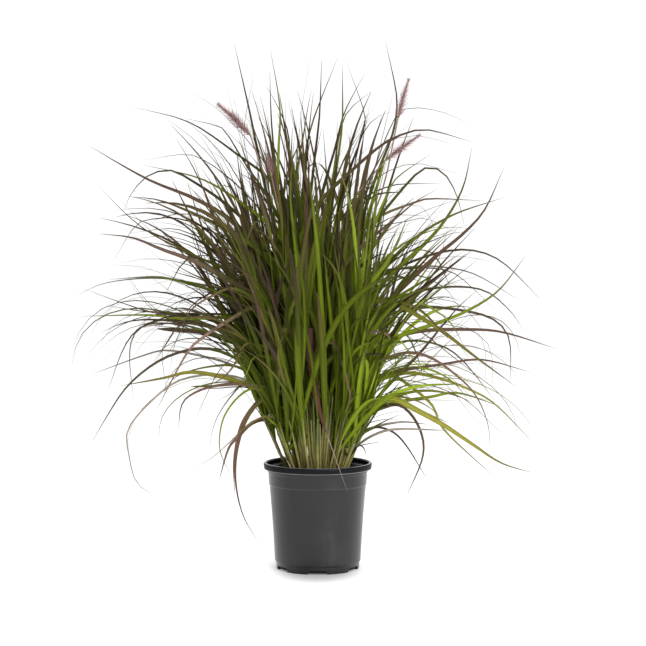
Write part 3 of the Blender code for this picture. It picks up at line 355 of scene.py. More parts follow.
def soil_height(radius):
    """Height of the soil's gently domed top at a distance from the axis."""
    share = min(radius / (BAND_RADIUS - WALL), 1)
    return SOIL_MIDDLE - (SOIL_MIDDLE - SOIL_EDGE) * share ** 2


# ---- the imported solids' leaves
# These find the same shoots and leaves as the part's source does, so that grown leaves lie where
# the solids are.


def blade_share(share):
    """Width of a solid blade along its length, as a share of its greatest width."""
    rise = min(share / 0.3, 1)
    rise = 0.42 + 0.58 * rise * rise * (3 - 2 * rise)
    return rise * (1 - share ** 2.6) ** 0.9 + 0.05


def blade_sides(line, facing, turn, twist=0.0):
    """The direction across the blade at each point of its midrib."""
    sides = []
    before = flat = None
    for index in range(len(line)):
        along = heading(line, index)
        kept_on = before.rotation_difference(along) @ flat if sides else Vector((1, 0, 0))
        flat = along.cross(facing)
        if flat.length < 0.15:
            flat = kept_on
        flat.normalize()
        if sides and flat.dot(kept_on) < 0:
            flat.negate()
        deep = flat.cross(along).normalized()
        angle = turn + twist * index / (len(line) - 1)
        sides.append((flat * math.cos(angle) + deep * math.sin(angle)).normalized())
        before = along
    return sides


def blade_rings(leaf, spare=0.0):
    """Three-cornered sections of a solid blade."""
    rings = []
    line = leaf["line"]
    for index, (point, side) in enumerate(zip(line, leaf["sides"])):
        share = index / (len(line) - 1)
        half = 0.5 * leaf["width"] * blade_share(share) + spare
        keel = max(2 * half * KEEL_SHARE, KEEL_LEAST) + 2 * spare
        down = heading(line, index).cross(side).normalized()
        rings.append((point - side * half, point + side * half, point - down * keel))
    return rings


def skin(rings):
    """Corners and triangles of a row of equal sections. A twisted stretch bulges outwards."""
    around = len(rings[0])
    corners = [corner for ring in rings for corner in ring]
    faces = []
    for start in range(0, len(corners) - around, around):
        middle = sum(corners[start:start + 2 * around], Vector()) / (2 * around)
        for corner in range(around):
            a, b = start + corner, start + (corner + 1) % around
            c, d = b + around, a + around
            one, other = corners[a] + corners[c], corners[b] + corners[d]
            outward = (corners[c] - corners[a]).cross(corners[d] - corners[b])
            if outward.dot(one + other - 4 * middle) < 0:
                outward.negate()
            if outward.dot(one) > outward.dot(other):
                faces += [(a, b, c), (a, c, d)]
            else:
                faces += [(b, c, d), (b, d, a)]
    return corners, faces


def ring_tree(rings):
    """A search tree of a lofted shape, for finding where shapes meet."""
    return BVHTree.FromPolygons(*skin(rings))


def culm_line(foot_x, foot_y):
    """Foot and top of a culm that fans out from its foot."""
    foot_distance = math.hypot(foot_x, foot_y)
    outward = foot_distance / CLUMP_RADIUS
    foot = Vector((foot_x, foot_y, soil_height(foot_distance) + FOOT_LIFT))
    height = CULM_TOP_INNER + (CULM_TOP_OUTER - CULM_TOP_INNER) * outward ** 2
    return [foot, Vector((foot_x * FAN, foot_y * FAN, height))]


def stem_tree(line, radius):
    """A search tree of a culm or stalk with its share of air."""
    rings = []
    for index, point in enumerate(line):
        along = heading(line, index)
        across = along.cross(Vector((0, 1, 0))).normalized()
        other = along.cross(across)
        turns = [(corner + STEM_TWIST) * 2 * math.pi / STEM_SIDES for corner in range(STEM_SIDES)]
        rings.append([point + (across * math.cos(turn) + other * math.sin(turn)) * (radius + 2 * GAP)
                      for turn in turns])
    return ring_tree(rings)


def make_shoots():
    """All shoots of the clump, each with its culm's line and room for its leaves."""
    shoots = []
    for number in range(TILLERS):
        distance = CLUMP_RADIUS * math.sqrt((number + 0.6) / TILLERS)
        angle = number * GOLDEN_ANGLE
        line = culm_line(distance * math.cos(angle), distance * math.sin(angle))
        shoots.append({"name": f"tiller_{number + 1:02d}", "culm": line, "leaves": [],
                       "trees": [stem_tree(line, CULM_FOOT_RADIUS)]})
    return shoots


def leaf_foot(shoot, height):
    """Where the shoot's next leaf grows from its culm, wanted at a height."""
    foot, top = shoot["culm"]
    step = LEAF_STEP * len(shoot["leaves"])
    share = (height - foot.z) / (top.z - foot.z)
    return foot.lerp(top, min(max(share, LOWEST_LEAF + step), HIGHEST_LEAF - step))


def eased(path, up):
    """A path whose hidden first stretch leaves its culm upwards and bends gently over."""
    foot, first = path[0], path[1]
    reach = (first - foot).length
    rising = foot + up * (RISING * reach)
    coming = first - (path[2] - first).normalized() * (COMING * reach)
    return bow(foot, rising, coming, first, HIDDEN_STEPS)[:-1] + path[1:]


def drawn_blade(shoot, width, depth, points, turn):
    """A leaf laid out on the upright plane, from a shoot to its tip's depth."""
    first = Vector((points[0][0] * CM, points[0][1] * CM, 0))
    start = leaf_foot(shoot, first.y - 4 * CM)
    path = [drawn(start)] + [Vector((x * CM, z * CM, 0)) for x, z in points]
    lengths = [0, *itertools.accumulate(math.hypot(other.x - one.x, other.y - one.y)
                                        for one, other in zip(path, path[1:]))]
    for spot, length in zip(path, lengths):
        share = length / lengths[-1]
        spot.z = start.y + (depth * CM - start.y) * share ** 1.2
    whole = [carried(*spot) for spot in path]
    foot, top = shoot["culm"]
    whole = eased(whole, (top - foot).normalized())
    line = smooth_line(whole, LEAF_SECTIONS + round(turning(whole) / BEND_STEP))
    facing = (whole[len(whole) // 2] - EYE).normalized()
    seen = width * MM
    real = max(seen, 0.5 * (seen + NARROW))
    turn *= max(math.acos(min(seen / real, 1)), LEAST_TURN)
    return {"line": line, "sides": blade_sides(line, facing, turn), "width": real,
            "path": whole, "facing": facing, "turn": turn, "change": lengths[1] / lengths[-1]}


def meets(leaf, shoots, own):
    """Whether a leaf would touch any other shoot or its leaves."""
    tree = ring_tree(blade_rings(leaf, GAP))
    return any(tree.overlap(other) for shoot in shoots if shoot is not own
               for other in shoot["trees"])


def give(shoot, leaf):
    """Add a leaf to a shoot."""
    shoot["leaves"].append(leaf)
    shoot["trees"].append(ring_tree(blade_rings(leaf)))


def nearest_shoots(shoots, x, z, goal_y):
    """Shoots, nearest first to where a leaf at (x, z) points down to."""
    reach = FORK_HEIGHT - CLUMP_CENTRE
    goal_x = x * reach / max(z - CLUMP_CENTRE, reach)
    return sorted(shoots, key=lambda shoot: math.hypot(shoot["culm"][-1].x - goal_x,
                                                       shoot["culm"][-1].y - goal_y))


def clear_blade(shoots, width, depth, points):
    """A drawn leaf that touches nothing, and the shoot near its foot that it grows from."""
    free = [shoot for shoot in shoots if len(shoot["leaves"]) < LEAVES_EACH]
    x, z = points[0]
    for shoot in nearest_shoots(free, x * CM, z * CM, 0.2 * depth * CM)[:SHOOTS_TRIED]:
        for shift in DEPTH_SHIFTS:
            for turn in (1, -1):
                leaf = drawn_blade(shoot, width, depth + shift, points, turn)
                if not meets(leaf, shoots, shoot):
                    return shoot, leaf
    raise ValueError(f"the leaf that starts at {points[0]} finds no clear place")


def arching_blade(shoot, chance):
    """A leaf that rises from its shoot and arches over, towards the front or the back."""
    start = leaf_foot(shoot, chance.uniform(20, 28) * CM)
    ahead = -math.pi / 2 if chance.random() < 0.5 else math.pi / 2
    bearing = chance.uniform(-1.0, 1.0) + ahead
    length = chance.uniform(0.34, 0.52)
    rise = chance.uniform(1.15, 1.42)
    droop = chance.uniform(0.4, 1.6)
    outward = Vector((math.cos(bearing), math.sin(bearing), 0))
    path = [start]
    stride = length / ARCHING_STRIDES
    for step in range(ARCHING_STRIDES):
        pitch = rise - droop * ((step + 0.5) / ARCHING_STRIDES) ** 1.5
        path.append(path[-1] + outward * (stride * math.cos(pitch))
                    + Vector((0, 0, stride * math.sin(pitch))))
    line = smooth_line(path, 5)
    facing = Vector((0, 0, 1)).lerp(outward, 0.6).normalized()
    width = chance.uniform(5, 8.5) * MM
    turn = chance.uniform(-0.5, 0.5)
    return {"line": line, "width": width, "sides": blade_sides(line, facing, turn),
            "path": path, "facing": facing, "turn": turn, "change": 0.4}


def fits(leaf):
    """Whether an arching leaf's outer part stays inside the clump's outline and off the pot."""
    for point in leaf["line"][3:]:
        seen = drawn(point)
        away = (seen.x / ARCHING_WIDE) ** 2 + ((seen.y - ARCHING_MIDDLE) / ARCHING_HIGH) ** 2
        if away > 1 or seen.y < ARCHING_LOWEST or abs(point.y) > ARCHING_DEEP:
            return False
    return True


def place_leaves(shoots):
    """Give every shoot the leaves that its solid has."""
    for number, (width, depth, *places) in enumerate(LEAVES):
        points = list(zip(places[::2], places[1::2]))
        shoot, leaf = clear_blade(shoots, width, depth, points)
        leaf.update(tone=LEAF_TONES[number], blunt=number in BLUNT_LEAVES,
                    dry=float(number in DRY_TIPPED))
        give(shoot, leaf)
    chance = random.Random(ARCHING_SEED)
    placed = 0
    for _ in range(ARCHING_TRIES):
        if placed == ARCHING_LEAVES:
            break
        shoot = chance.choice(sorted(shoots, key=lambda shoot: len(shoot["leaves"]))[:BAREST])
        leaf = arching_blade(shoot, chance)
        if fits(leaf) and not meets(leaf, shoots, shoot):
            leaf["tone"] = ARCHING_TONES[placed % len(ARCHING_TONES)]
            give(shoot, leaf)
            placed += 1


def flower_lines(depth, stalk, spike, foot_x, foot_y):
    """The line of a flowering stalk from its foot, and the line of its spike."""
    foot = Vector((foot_x, foot_y, soil_height(math.hypot(foot_x, foot_y)) + FOOT_LIFT))
    whole = [(x * CM, z * CM) for x, z in stalk + spike]
    path = [foot] + [carried(x, z, foot_y + (depth * CM - foot_y) * z / whole[-1][1])
                     for x, z in whole]
    joint = len(stalk) + 1
    return (smooth_line(path[:joint], STALK_SECTIONS),
            smooth_line(path[joint - 1:], SPIKE_SECTIONS))


def clear_flower(shoots, flower, spot):
    """A flowering shoot that touches nothing, with its foot as near its spot as can be."""
    taken = [tree for shoot in shoots for tree in shoot["trees"]]
    for step in range(FOOT_TRIES):
        distance = FOOT_STRIDE * math.sqrt(step)
        lines = flower_lines(*flower, spot[0] + distance * math.cos(step * GOLDEN_ANGLE),
                             spot[1] + distance * math.sin(step * GOLDEN_ANGLE))
        trees = [stem_tree(lines[0], 1.5 * STALK_RADIUS), stem_tree(lines[1], SPIKE_RADIUS)]
        if not any(tree.overlap(other) for tree in trees for other in taken):
            return lines, trees
    raise ValueError(f"the flowering shoot at {spot} finds no clear place")


def place_flowers(shoots):
    """Place the flowering shoots among the others. They have no room for leaves."""
    flowers = []
    for flower, spot in zip(FLOWERS, FLOWER_FEET):
        lines, trees = clear_flower(shoots, flower, spot)
        shoots.append({"culm": lines[0], "trees": trees, "leaves": [None] * LEAVES_EACH})
        flowers.append(lines)
    return flowers


def grown_plant():
    """The clump's shoots with their leaves, and the flowering shoots' lines."""
    shoots = make_shoots()
    flowers = place_flowers(shoots)
    place_leaves(shoots)
    return shoots[:TILLERS], flowers


# ---- node trees


class Wire:
    """A node's output socket, which takes part in sums as a number does."""

    def __init__(self, board, socket):
        self.board = board
        self.socket = socket

    def math(self, operation, *others):
        """This value and others through one Math node."""
        return self.board.add("ShaderNodeMath", {"operation": operation}, (self, *others))

    def __add__(self, other):
        return self.math('ADD', other)

    def __mul__(self, other):
        return self.math('MULTIPLY', other)

    def __sub__(self, other):
        return self.math('SUBTRACT', other)

    def __rsub__(self, other):
        return (self * -1) + other

    def __truediv__(self, other):
        return self.math('DIVIDE', other)

    __radd__ = __add__
    __rmul__ = __mul__

    def step(self, low, high):
        """This value brought from low..high to 0..1, smoothly and held at both ends."""
        return self.board.add("ShaderNodeMapRange", {"interpolation_type": 'SMOOTHSTEP'},
                              {"Value": self, "From Min": low, "From Max": high}, "Result")


class Board:
    """A node tree that is wired up by plain calls."""

    def __init__(self, tree):
        self.tree = tree

    @staticmethod
    def find(sockets, key):
        """A socket by its place, identifier or name, leaving out those that are switched off."""
        if isinstance(key, int):
            return sockets[key]
        for socket in sockets:
            if socket.enabled and key in (socket.identifier, socket.name):
                return socket
        raise KeyError(f"{key} in {[socket.name for socket in sockets]}")

    def add(self, kind, settings=None, values=(), output=0):
        """Add a node with its settings, feed its sockets and return one output, if it has any."""
        node = self.tree.nodes.new(kind)
        for name, value in (settings or {}).items():
            if name == "stops":
                set_stops(node.color_ramp.elements, value)
            else:
                setattr(node, name, value)
        for key, value in values.items() if isinstance(values, dict) else enumerate(values):
            socket = self.find(node.inputs, key)
            for part in value if isinstance(value, list) else (value,):
                if isinstance(part, Wire):
                    self.tree.links.new(part.socket, socket)
                elif socket.type == 'RGBA' and len(part) == 3:
                    socket.default_value = (*part, 1)
                else:
                    socket.default_value = part
        return Wire(self, self.find(node.outputs, output)) if node.outputs else None

    def other(self, wire, output):
        """Another output of the node that a wire comes from."""
        return Wire(self, self.find(wire.socket.node.outputs, output))

    def attributes(self, *names, output="Fac"):
        """Values that the mesh carries."""
        return [self.add("ShaderNodeAttribute", {"attribute_name": name}, (), output) for name in names]

    def place(self):
        """The point's own place in the row frame."""
        return self.add("ShaderNodeTexCoord", output="Object")

    def part(self, vector, axis):
        """One of a vector's three numbers."""
        return self.add("ShaderNodeSeparateXYZ", None, (vector,), axis)

    def vector(self, x=0, y=0, z=0):
        """A vector of three values."""
        return self.add("ShaderNodeCombineXYZ", None, (x, y, z))

    def vectors(self, operation, *values, output=0):
        """Vectors through one Vector Math node."""
        return self.add("ShaderNodeVectorMath", {"operation": operation}, values, output)

    def stretched(self, wire, scale):
        """A vector multiplied by three numbers."""
        return self.vectors('MULTIPLY', wire, scale)

    def length(self, wire):
        """How long a vector is."""
        return self.vectors('LENGTH', wire, output="Value")

    def noise(self, vector, scale, detail=3, rough=0.55):
        """Smooth noise from 0 to 1."""
        return self.add("ShaderNodeTexNoise", None, {"Vector": vector, "Scale": scale,
                                                     "Detail": detail, "Roughness": rough})

    def blend(self, share, one, other, kind='MIX'):
        """Two colours mixed by a share."""
        return self.add("ShaderNodeMix", {"data_type": 'RGBA', "blend_type": kind},
                        {"Factor_Float": share, "A_Color": one, "B_Color": other}, "Result_Color")

    def shaded(self, colour, amount):
        """A colour made darker or lighter by a value."""
        return self.blend(1, colour, amount, 'MULTIPLY')

    def ramp(self, value, *stops):
        """A colour picked by a value from a row of (place, colour)."""
        return self.add("ShaderNodeValToRGB", {"stops": stops}, (value,))

    def bump(self, height, strength, distance):
        """A normal that follows a height."""
        return self.add("ShaderNodeBump", None, {"Height": height, "Strength": strength,
                                                 "Distance": distance})

    def named(self, name, kind='FLOAT'):
        """A named attribute inside a Geometry Nodes tree."""
        return self.add("GeometryNodeInputNamedAttribute", {"data_type": kind}, {"Name": name},
                        "Attribute")

    def kept(self, geometry, name, value, domain='POINT'):
        """Geometry that carries one more named attribute."""
        return self.add("GeometryNodeStoreNamedAttribute", {"data_type": 'FLOAT', "domain": domain},
                        {"Geometry": geometry, "Name": name, "Value": value})

    def chance(self, seed, low=0, high=1):
        """A random value or vector for each point or instance."""
        kind = 'FLOAT_VECTOR' if isinstance(low, tuple) else 'FLOAT'
        return self.add("FunctionNodeRandomValue", {"data_type": kind},
                        {"Min": low, "Max": high, "Seed": seed}, "Value")

    def placed(self, points, shape, turn, size, chance):
        """A shape set on every point, each one carrying its own chance."""
        shapes = self.add("GeometryNodeInstanceOnPoints", None,
                          {"Points": points, "Instance": shape, "Rotation": turn, "Scale": size})
        return self.kept(shapes, "chance", chance, 'INSTANCE')


def set_stops(row, stops):
    """Put the stops of a colour ramp in their places."""
    while len(row) < len(stops):
        row.new(1)
    for stop, (place, colour) in zip(row, stops):
        stop.position = place
        stop.color = (*colour, 1)


def material_board(name):
    """The board of a new material's empty node tree, which also holds the material."""
    material = bpy.data.materials.new(name)
    material.use_nodes = True
    material.node_tree.nodes.clear()
    board = Board(material.node_tree)
    board.material = material
    return board


def finish_material(board, colour, roughness, normal=None, constants=None, glow=None, share=0,
                    kind="Translucent"):
    """Wire a Principled surface to the output, with a share of another shader if asked."""
    values = {"Base Color": colour, "Roughness": roughness, **(constants or {})}
    if normal is not None:
        values["Normal"] = normal
    surface = board.add("ShaderNodeBsdfPrincipled", None, values)
    if glow is not None:
        through = board.add(f"ShaderNodeBsdf{kind}", None, {"Color": glow})
        surface = board.add("ShaderNodeMixShader", None, (share, surface, through))
    board.add("ShaderNodeOutputMaterial", None, (surface,))
    return board.material


def leaf_material(settings):
    """A living blade: green below, bronze to purple above, veined, with a drying tip, and painted light
    making its low and outer parts lighter.
    """
    board = material_board("grass_blade")
    along, across, chance, change, dry = board.attributes("along", "across", "chance", "change", "dry")
    place = board.place()
    mottle = board.noise(place, 70)
    streak = board.noise(board.vector(across * 2.2, along * 5, chance * 60), 2.2, 4, 0.6)
    away = across.math('ABSOLUTE')
    edge = away.step(0.5, 1.05)
    turned = (along - change + (mottle - 0.5) * 0.16 + (streak - 0.5) * 0.22
              + edge * 0.06).step(-0.10, 0.26)
    colour = board.blend(turned, *board.attributes("inner_colour", "outer_colour", output="Color"))
    midrib = 1 - away.step(0.02, 0.2)
    pale = board.shaded(colour, 1 + midrib * 0.55)
    veins = (across * 24).math('SINE')
    # Painted light: blades are made lighter low in the clump, and more so out at the sides, standing for
    # light that falls there.
    painted_side_light = board.part(place, "X").math('ABSOLUTE').step(0.03, 0.15)
    low = (1 - board.part(place, "Z").step(0.24, 0.46)) * (0.14 + painted_side_light * 0.60)
    colour = board.shaded(pale, (0.70 + streak * 0.42 + mottle * 0.18 + veins * 0.05) * (1 + low))
    colour = board.blend(edge * (0.35 - turned * 0.2), colour, settings.margin_colour)
    thin = along.step(0.60, 0.98) * 0.75
    colour = board.blend(thin, colour, settings.tip_colour)
    withered = (along + (mottle - 0.5) * 0.08 - (1 - dry * 0.22 - chance * 0.05)).step(-0.02, 0.05)
    colour = board.blend(withered * (0.35 + dry * 0.6), colour, settings.dry_colour)
    normal = board.bump(veins * 0.5 + midrib + streak * 0.6, 0.35, 0.4 * MM)
    share = (settings.glow * (1.15 - turned * 0.75) * (0.7 + streak * 0.5) * (1 - withered * 0.5)
             * (1 - thin))
    return finish_material(board, colour, 0.36 + mottle * 0.16 + streak * 0.12, normal,
                           {"IOR": 1.42, "Specular IOR Level": 0.05}, settings.glow_colour, share)


def culm_material(settings):
    """A culm in its sheaths: straw at the foot, yellow-green above, streaked along its length."""
    board = material_board("grass_culm")
    place = board.place()
    along, around, chance = board.attributes("along", "across", "chance")
    streak = board.noise(board.vector(around * 3, along * 3, chance * 40), 3, 4, 0.6)
    mottle = board.noise(place, 120)
    height = board.part(place, "Z")
    rise = (height + (mottle - 0.5) * 0.02 + (chance - 0.5) * 0.03).step(0.150, 0.205)
    colour = board.blend(rise, settings.culm_foot_colour,
                         *board.attributes("inner_colour", output="Color"))
    leafy = height.step(0.185, 0.262) * (1 - height.step(0.34, 0.42))
    colour = board.blend(leafy * 0.85, colour, settings.culm_top_colour)
    purple = (streak + chance * 0.3).step(0.62, 0.86)
    colour = board.blend(purple * 0.55, colour, settings.sheath_colour)
    joint = (along * 3 + chance).math('FRACT').step(0.93, 0.97)
    colour = board.shaded(colour, 0.62 + streak * 0.55 + mottle * 0.16 - joint * 0.35)
    return finish_material(board, colour, 0.42 + mottle * 0.2, board.bump(streak, 0.4, 0.5 * MM),
                           {"IOR": 1.42}, settings.glow_colour, 0.10)


def dry_material(settings):
    """Dead sheath and leaf litter."""
    board = material_board("dry_grass")
    mottle = board.noise(board.place(), 160, 4)
    colour = board.blend(*board.attributes("chance"), settings.dry_colour, (0.16, 0.10, 0.055))
    colour = board.shaded(colour, 0.55 + mottle * 0.8)
    return finish_material(board, colour, 0.75 + mottle * 0.1, board.bump(mottle, 0.5, 0.6 * MM))


def plastic_material(settings):
    """Black pot plastic: satin, a little scuffed and dusty, with painted shade on its rim and inside and
    painted highlights along its edges.
    """
    board = material_board("nursery_pot_plastic")
    place = board.place()
    cloud = board.noise(place, 14, 4)
    grain = board.noise(place, 900, 2)
    drawn_down = board.noise(board.stretched(place, (60, 60, 5)), 1.6, 4, 0.6)
    scuff = board.noise(board.stretched(place, (900, 900, 60)), 1, 3, 0.7).step(0.60, 0.78)
    height = board.part(place, "Z")
    dust = (cloud + drawn_down * 0.4 - height * 1.2).step(0.56, 0.98)
    colour = board.shaded(settings.plastic_colour, 0.80 + cloud * 0.22 + drawn_down * 0.18)
    colour = board.blend(dust * 0.10, colour, (0.11, 0.095, 0.08))
    colour = board.blend(scuff * 0.07, colour, (0.20, 0.20, 0.21))
    # Painted shade: the rim and the inward-facing walls are darkened and partly covered by a near-black
    # matt sheet, standing for the dark that they reflect and the shade inside the pot.
    facing = board.add("ShaderNodeNewGeometry", output="Normal")
    facing = board.vectors('DOT_PRODUCT', board.stretched(place, (1, 1, 0)), facing, output="Value")
    painted_shade_rim_inside = height.step(0.150, 0.155).math('MAXIMUM', facing.math('LESS_THAN', -0.02))
    colour = board.shaded(colour, 1 - painted_shade_rim_inside * 0.6)
    # Painted highlights: thin pale lines along the rim's top edge, under its lip and at the ledge, where
    # the edges catch light.
    lip, ledge = [(height - level).math('ABSOLUTE').step(0.3 * MM, 1 * MM)
                  for level in (POT_HEIGHT - RIM_DEPTH + 0.4 * MM, BAND_HEIGHT)]
    painted_edge_highlight = height.step(POT_HEIGHT - 1.3 * MM, POT_HEIGHT - 0.3 * MM) * 0.8
    painted_edge_highlight = painted_edge_highlight + (1 - lip) * 0.9 + (1 - ledge) * 0.12
    colour = board.blend(painted_edge_highlight, colour, (0.16, 0.16, 0.17))
    roughness = settings.roughness + (cloud * 0.10 + scuff * 0.10 + dust * 0.14) * (1 - painted_shade_rim_inside) - painted_shade_rim_inside * 0.08
    normal = board.bump(grain * 0.5 + drawn_down + scuff * 0.6, 0.22, 0.2 * MM)
    # The near-black Diffuse share is the painted shade on the rim and inside; it is left off the painted
    # highlights.
    return finish_material(board, colour, roughness, normal, {"IOR": 1.47}, (0.005, 0.005, 0.007),
                           painted_shade_rim_inside * 0.75 * (1 - painted_edge_highlight), "Diffuse")


def soil_material():
    """Moist bark and peat mix, darker where the pot shades it."""
    board = material_board("bark_potting_mix")
    place = board.place()
    clod = board.noise(place, 90, 5, 0.65)
    crumb = board.noise(place, 420, 4, 0.6)
    fleck = board.add("ShaderNodeTexVoronoi", None, {"Vector": place, "Scale": 260.0})
    colour = board.ramp(clod * 0.6 + crumb * 0.4, (0.25, (0.010, 0.007, 0.005)),
                        (0.55, (0.035, 0.022, 0.014)), (0.80, (0.085, 0.052, 0.030)))
    colour = board.shaded(colour, (0.55 + fleck.step(0, 0.6) * 0.9)
                          * (0.1 + board.part(place, "Z").step(0.02, 0.06) * 0.9))
    return finish_material(board, colour, 0.82 + crumb * 0.15,
                           board.bump(clod + crumb * 0.7, 0.9, 1.5 * MM))


def bark_material():
    """Loose bark chips, each of its own brown."""
    board = material_board("bark_chips")
    fibre = board.noise(board.stretched(board.place(), (300, 700, 500)), 1, 4)
    colour = board.ramp(*board.attributes("chance"), (0, (0.022, 0.014, 0.010)),
                        (0.5, (0.075, 0.043, 0.025)), (0.9, (0.17, 0.105, 0.062)),
                        (1, (0.30, 0.27, 0.23)))
    colour = board.shaded(colour, 0.5 + fibre * 0.9)
    return finish_material(board, colour, 0.8 + fibre * 0.12, board.bump(fibre, 0.7, 1 * MM))


def spike_material(settings):
    """Flower bristles and spikelets, mauve-pink with straw between."""
    board = material_board("flower_bristles")
    own, along = board.attributes("chance", "along")
    mottle = board.noise(board.place(), 260)
    colour = board.blend(own, settings.bristle_colour, settings.bristle_dark)
    colour = board.blend(along.step(0.55, 1) * 0.55, colour, settings.bristle_tip)
    colour = board.shaded(colour, 0.75 + mottle * 0.5)
    return finish_material(board, colour, 0.6 + mottle * 0.15, None, {"Sheen Weight": 0.3},
                           settings.bristle_colour, 0.25)


def stalk_material(settings):
    """A flower stalk, olive to mauve."""
    board = material_board("flower_stalk")
    place = board.place()
    mottle = board.noise(place, 200)
    grain = board.noise(board.stretched(place, (900, 900, 40)), 1)
    along, = board.attributes("along")
    colour = board.blend(along.step(0.25, 0.9), (0.13, 0.17, 0.03), settings.stalk_colour)
    colour = board.shaded(colour, 0.7 + mottle * 0.3 + grain * 0.3)
    return finish_material(board, colour, 0.45 + mottle * 0.2, board.bump(grain, 0.3, 0.4 * MM))


def floor_material(settings):
    """The pale studio floor. It is lit from within, as a white sweep is, but not round the pot, where a
    painted shadow is left.
    """
    board = material_board("studio_floor")
    # Painted shadow: the floor's glow drops to 0.12 of its strength in an oval round the pot's foot, set a
    # little towards the front and stretched that way, standing for the pot's contact shadow.
    painted_shadow_place = board.vectors('ADD', board.place(), (0, 0.015, 0))
    away = board.length(board.stretched(painted_shadow_place, (1, 0.6, 1)))
    glow = board.blend(away.step(0.036, 0.088), (0.12, 0.12, 0.12), (1, 1, 1))
    return finish_material(board, (0.47, 0.47, 0.47), 0.9, None,
                           {"Specular IOR Level": 0.1, "Emission Color": glow,
                            "Emission Strength": settings.floor_glow})


# ---- node-built shapes


def geometry_board(name, **inputs):
    """A new Geometry Nodes tree's board, and the wires of its named inputs."""
    tree = bpy.data.node_groups.new(name, "GeometryNodeTree")
    for label, kind in {"Geometry": "Geometry", **inputs}.items():
        tree.interface.new_socket(label, in_out='INPUT', socket_type=f"NodeSocket{kind}")
    tree.interface.new_socket("Geometry", in_out='OUTPUT', socket_type="NodeSocketGeometry")
    board = Board(tree)
    entry = tree.nodes.new("NodeGroupInput")
    return board, {socket.name: Wire(board, socket) for socket in entry.outputs}


def close_tree(board, parts, *materials, smooth=True):
    """Join a tree's parts, make them real, give them their materials and wire up the output."""
    whole = board.add("GeometryNodeJoinGeometry", None, (parts,))
    whole = board.add("GeometryNodeRealizeInstances", None, (whole,))
    if smooth:
        whole = board.add("GeometryNodeSetShadeSmooth", None, (whole,))
    for material, chosen in materials:
        whole = board.add("GeometryNodeSetMaterial", None,
                          {"Geometry": whole, "Material": material, "Selection": chosen})
    board.add("NodeGroupOutput", None, (whole,))
    return board.tree


def settle(thing):
    """Replace an object's mesh by what its modifiers make of it, and take the modifiers off."""
    bpy.context.view_layer.update()
    evaluated = thing.evaluated_get(bpy.context.evaluated_depsgraph_get())
    mesh = bpy.data.meshes.new_from_object(evaluated)
    thing.modifiers.clear()
    old = thing.data
    thing.data = mesh
    bpy.data.meshes.remove(old)
    mesh.name = thing.name


def run_tree(thing, tree, **values):
    """Run a Geometry Nodes tree on an object and keep its result as the object's plain mesh."""
    modifier = thing.modifiers.new(tree.name, 'NODES')
    modifier.node_group = tree
    for item in tree.interface.items_tree:
        if item.in_out == 'INPUT' and item.name in values:
            modifier[item.identifier] = values[item.name]
    settle(thing)


def blade_tree():
    """Grows blades and culms along midribs: folded strips on leaves, round tubes on culms."""
    board, given = geometry_board("grow_along_midribs", Fold="Float", Thickness="Float", Sides="Int",
                                  Blade="Material", Culm="Material")
    add = board.add
    is_culm = board.named("culm", 'BOOLEAN')
    curves = add("GeometryNodeMeshToCurve", None, (given["Geometry"],))
    curves = add("GeometryNodeSetCurveNormal", {"mode": 'FREE'},
                 {"Curve": curves, "Normal": board.named("side", 'FLOAT_VECTOR')})
    culms = add("GeometryNodeSeparateGeometry", {"domain": 'POINT'},
                {"Geometry": curves, "Selection": is_culm})
    keel = board.vector(y=(given["Fold"] + given["Thickness"]) * -1)
    section = add("GeometryNodeCurvePrimitiveQuadrilateral", {"mode": 'POINTS'},
                  {"Point 1": (-1, 0, 0), "Point 2": keel, "Point 3": (1, 0, 0),
                   "Point 4": board.vector(y=given["Fold"] * -1)})
    ring = add("GeometryNodeCurvePrimitiveCircle", {"mode": 'RADIUS'}, {"Resolution": given["Sides"]})
    grown = []
    for path, profile, corners in ((board.other(culms, "Inverted"), section, 4),
                                   (culms, ring, given["Sides"])):
        profile = board.kept(profile, "around", add("GeometryNodeInputIndex") / corners)
        profile = board.kept(profile, "across", board.part(add("GeometryNodeInputPosition"), "X"))
        grown.append(add("GeometryNodeCurveToMesh", None,
                         {"Curve": path, "Profile Curve": profile, "Fill Caps": True,
                          "Scale": board.named("reach")}))
    return close_tree(board, grown, (given["Blade"], True), (given["Culm"], is_culm))


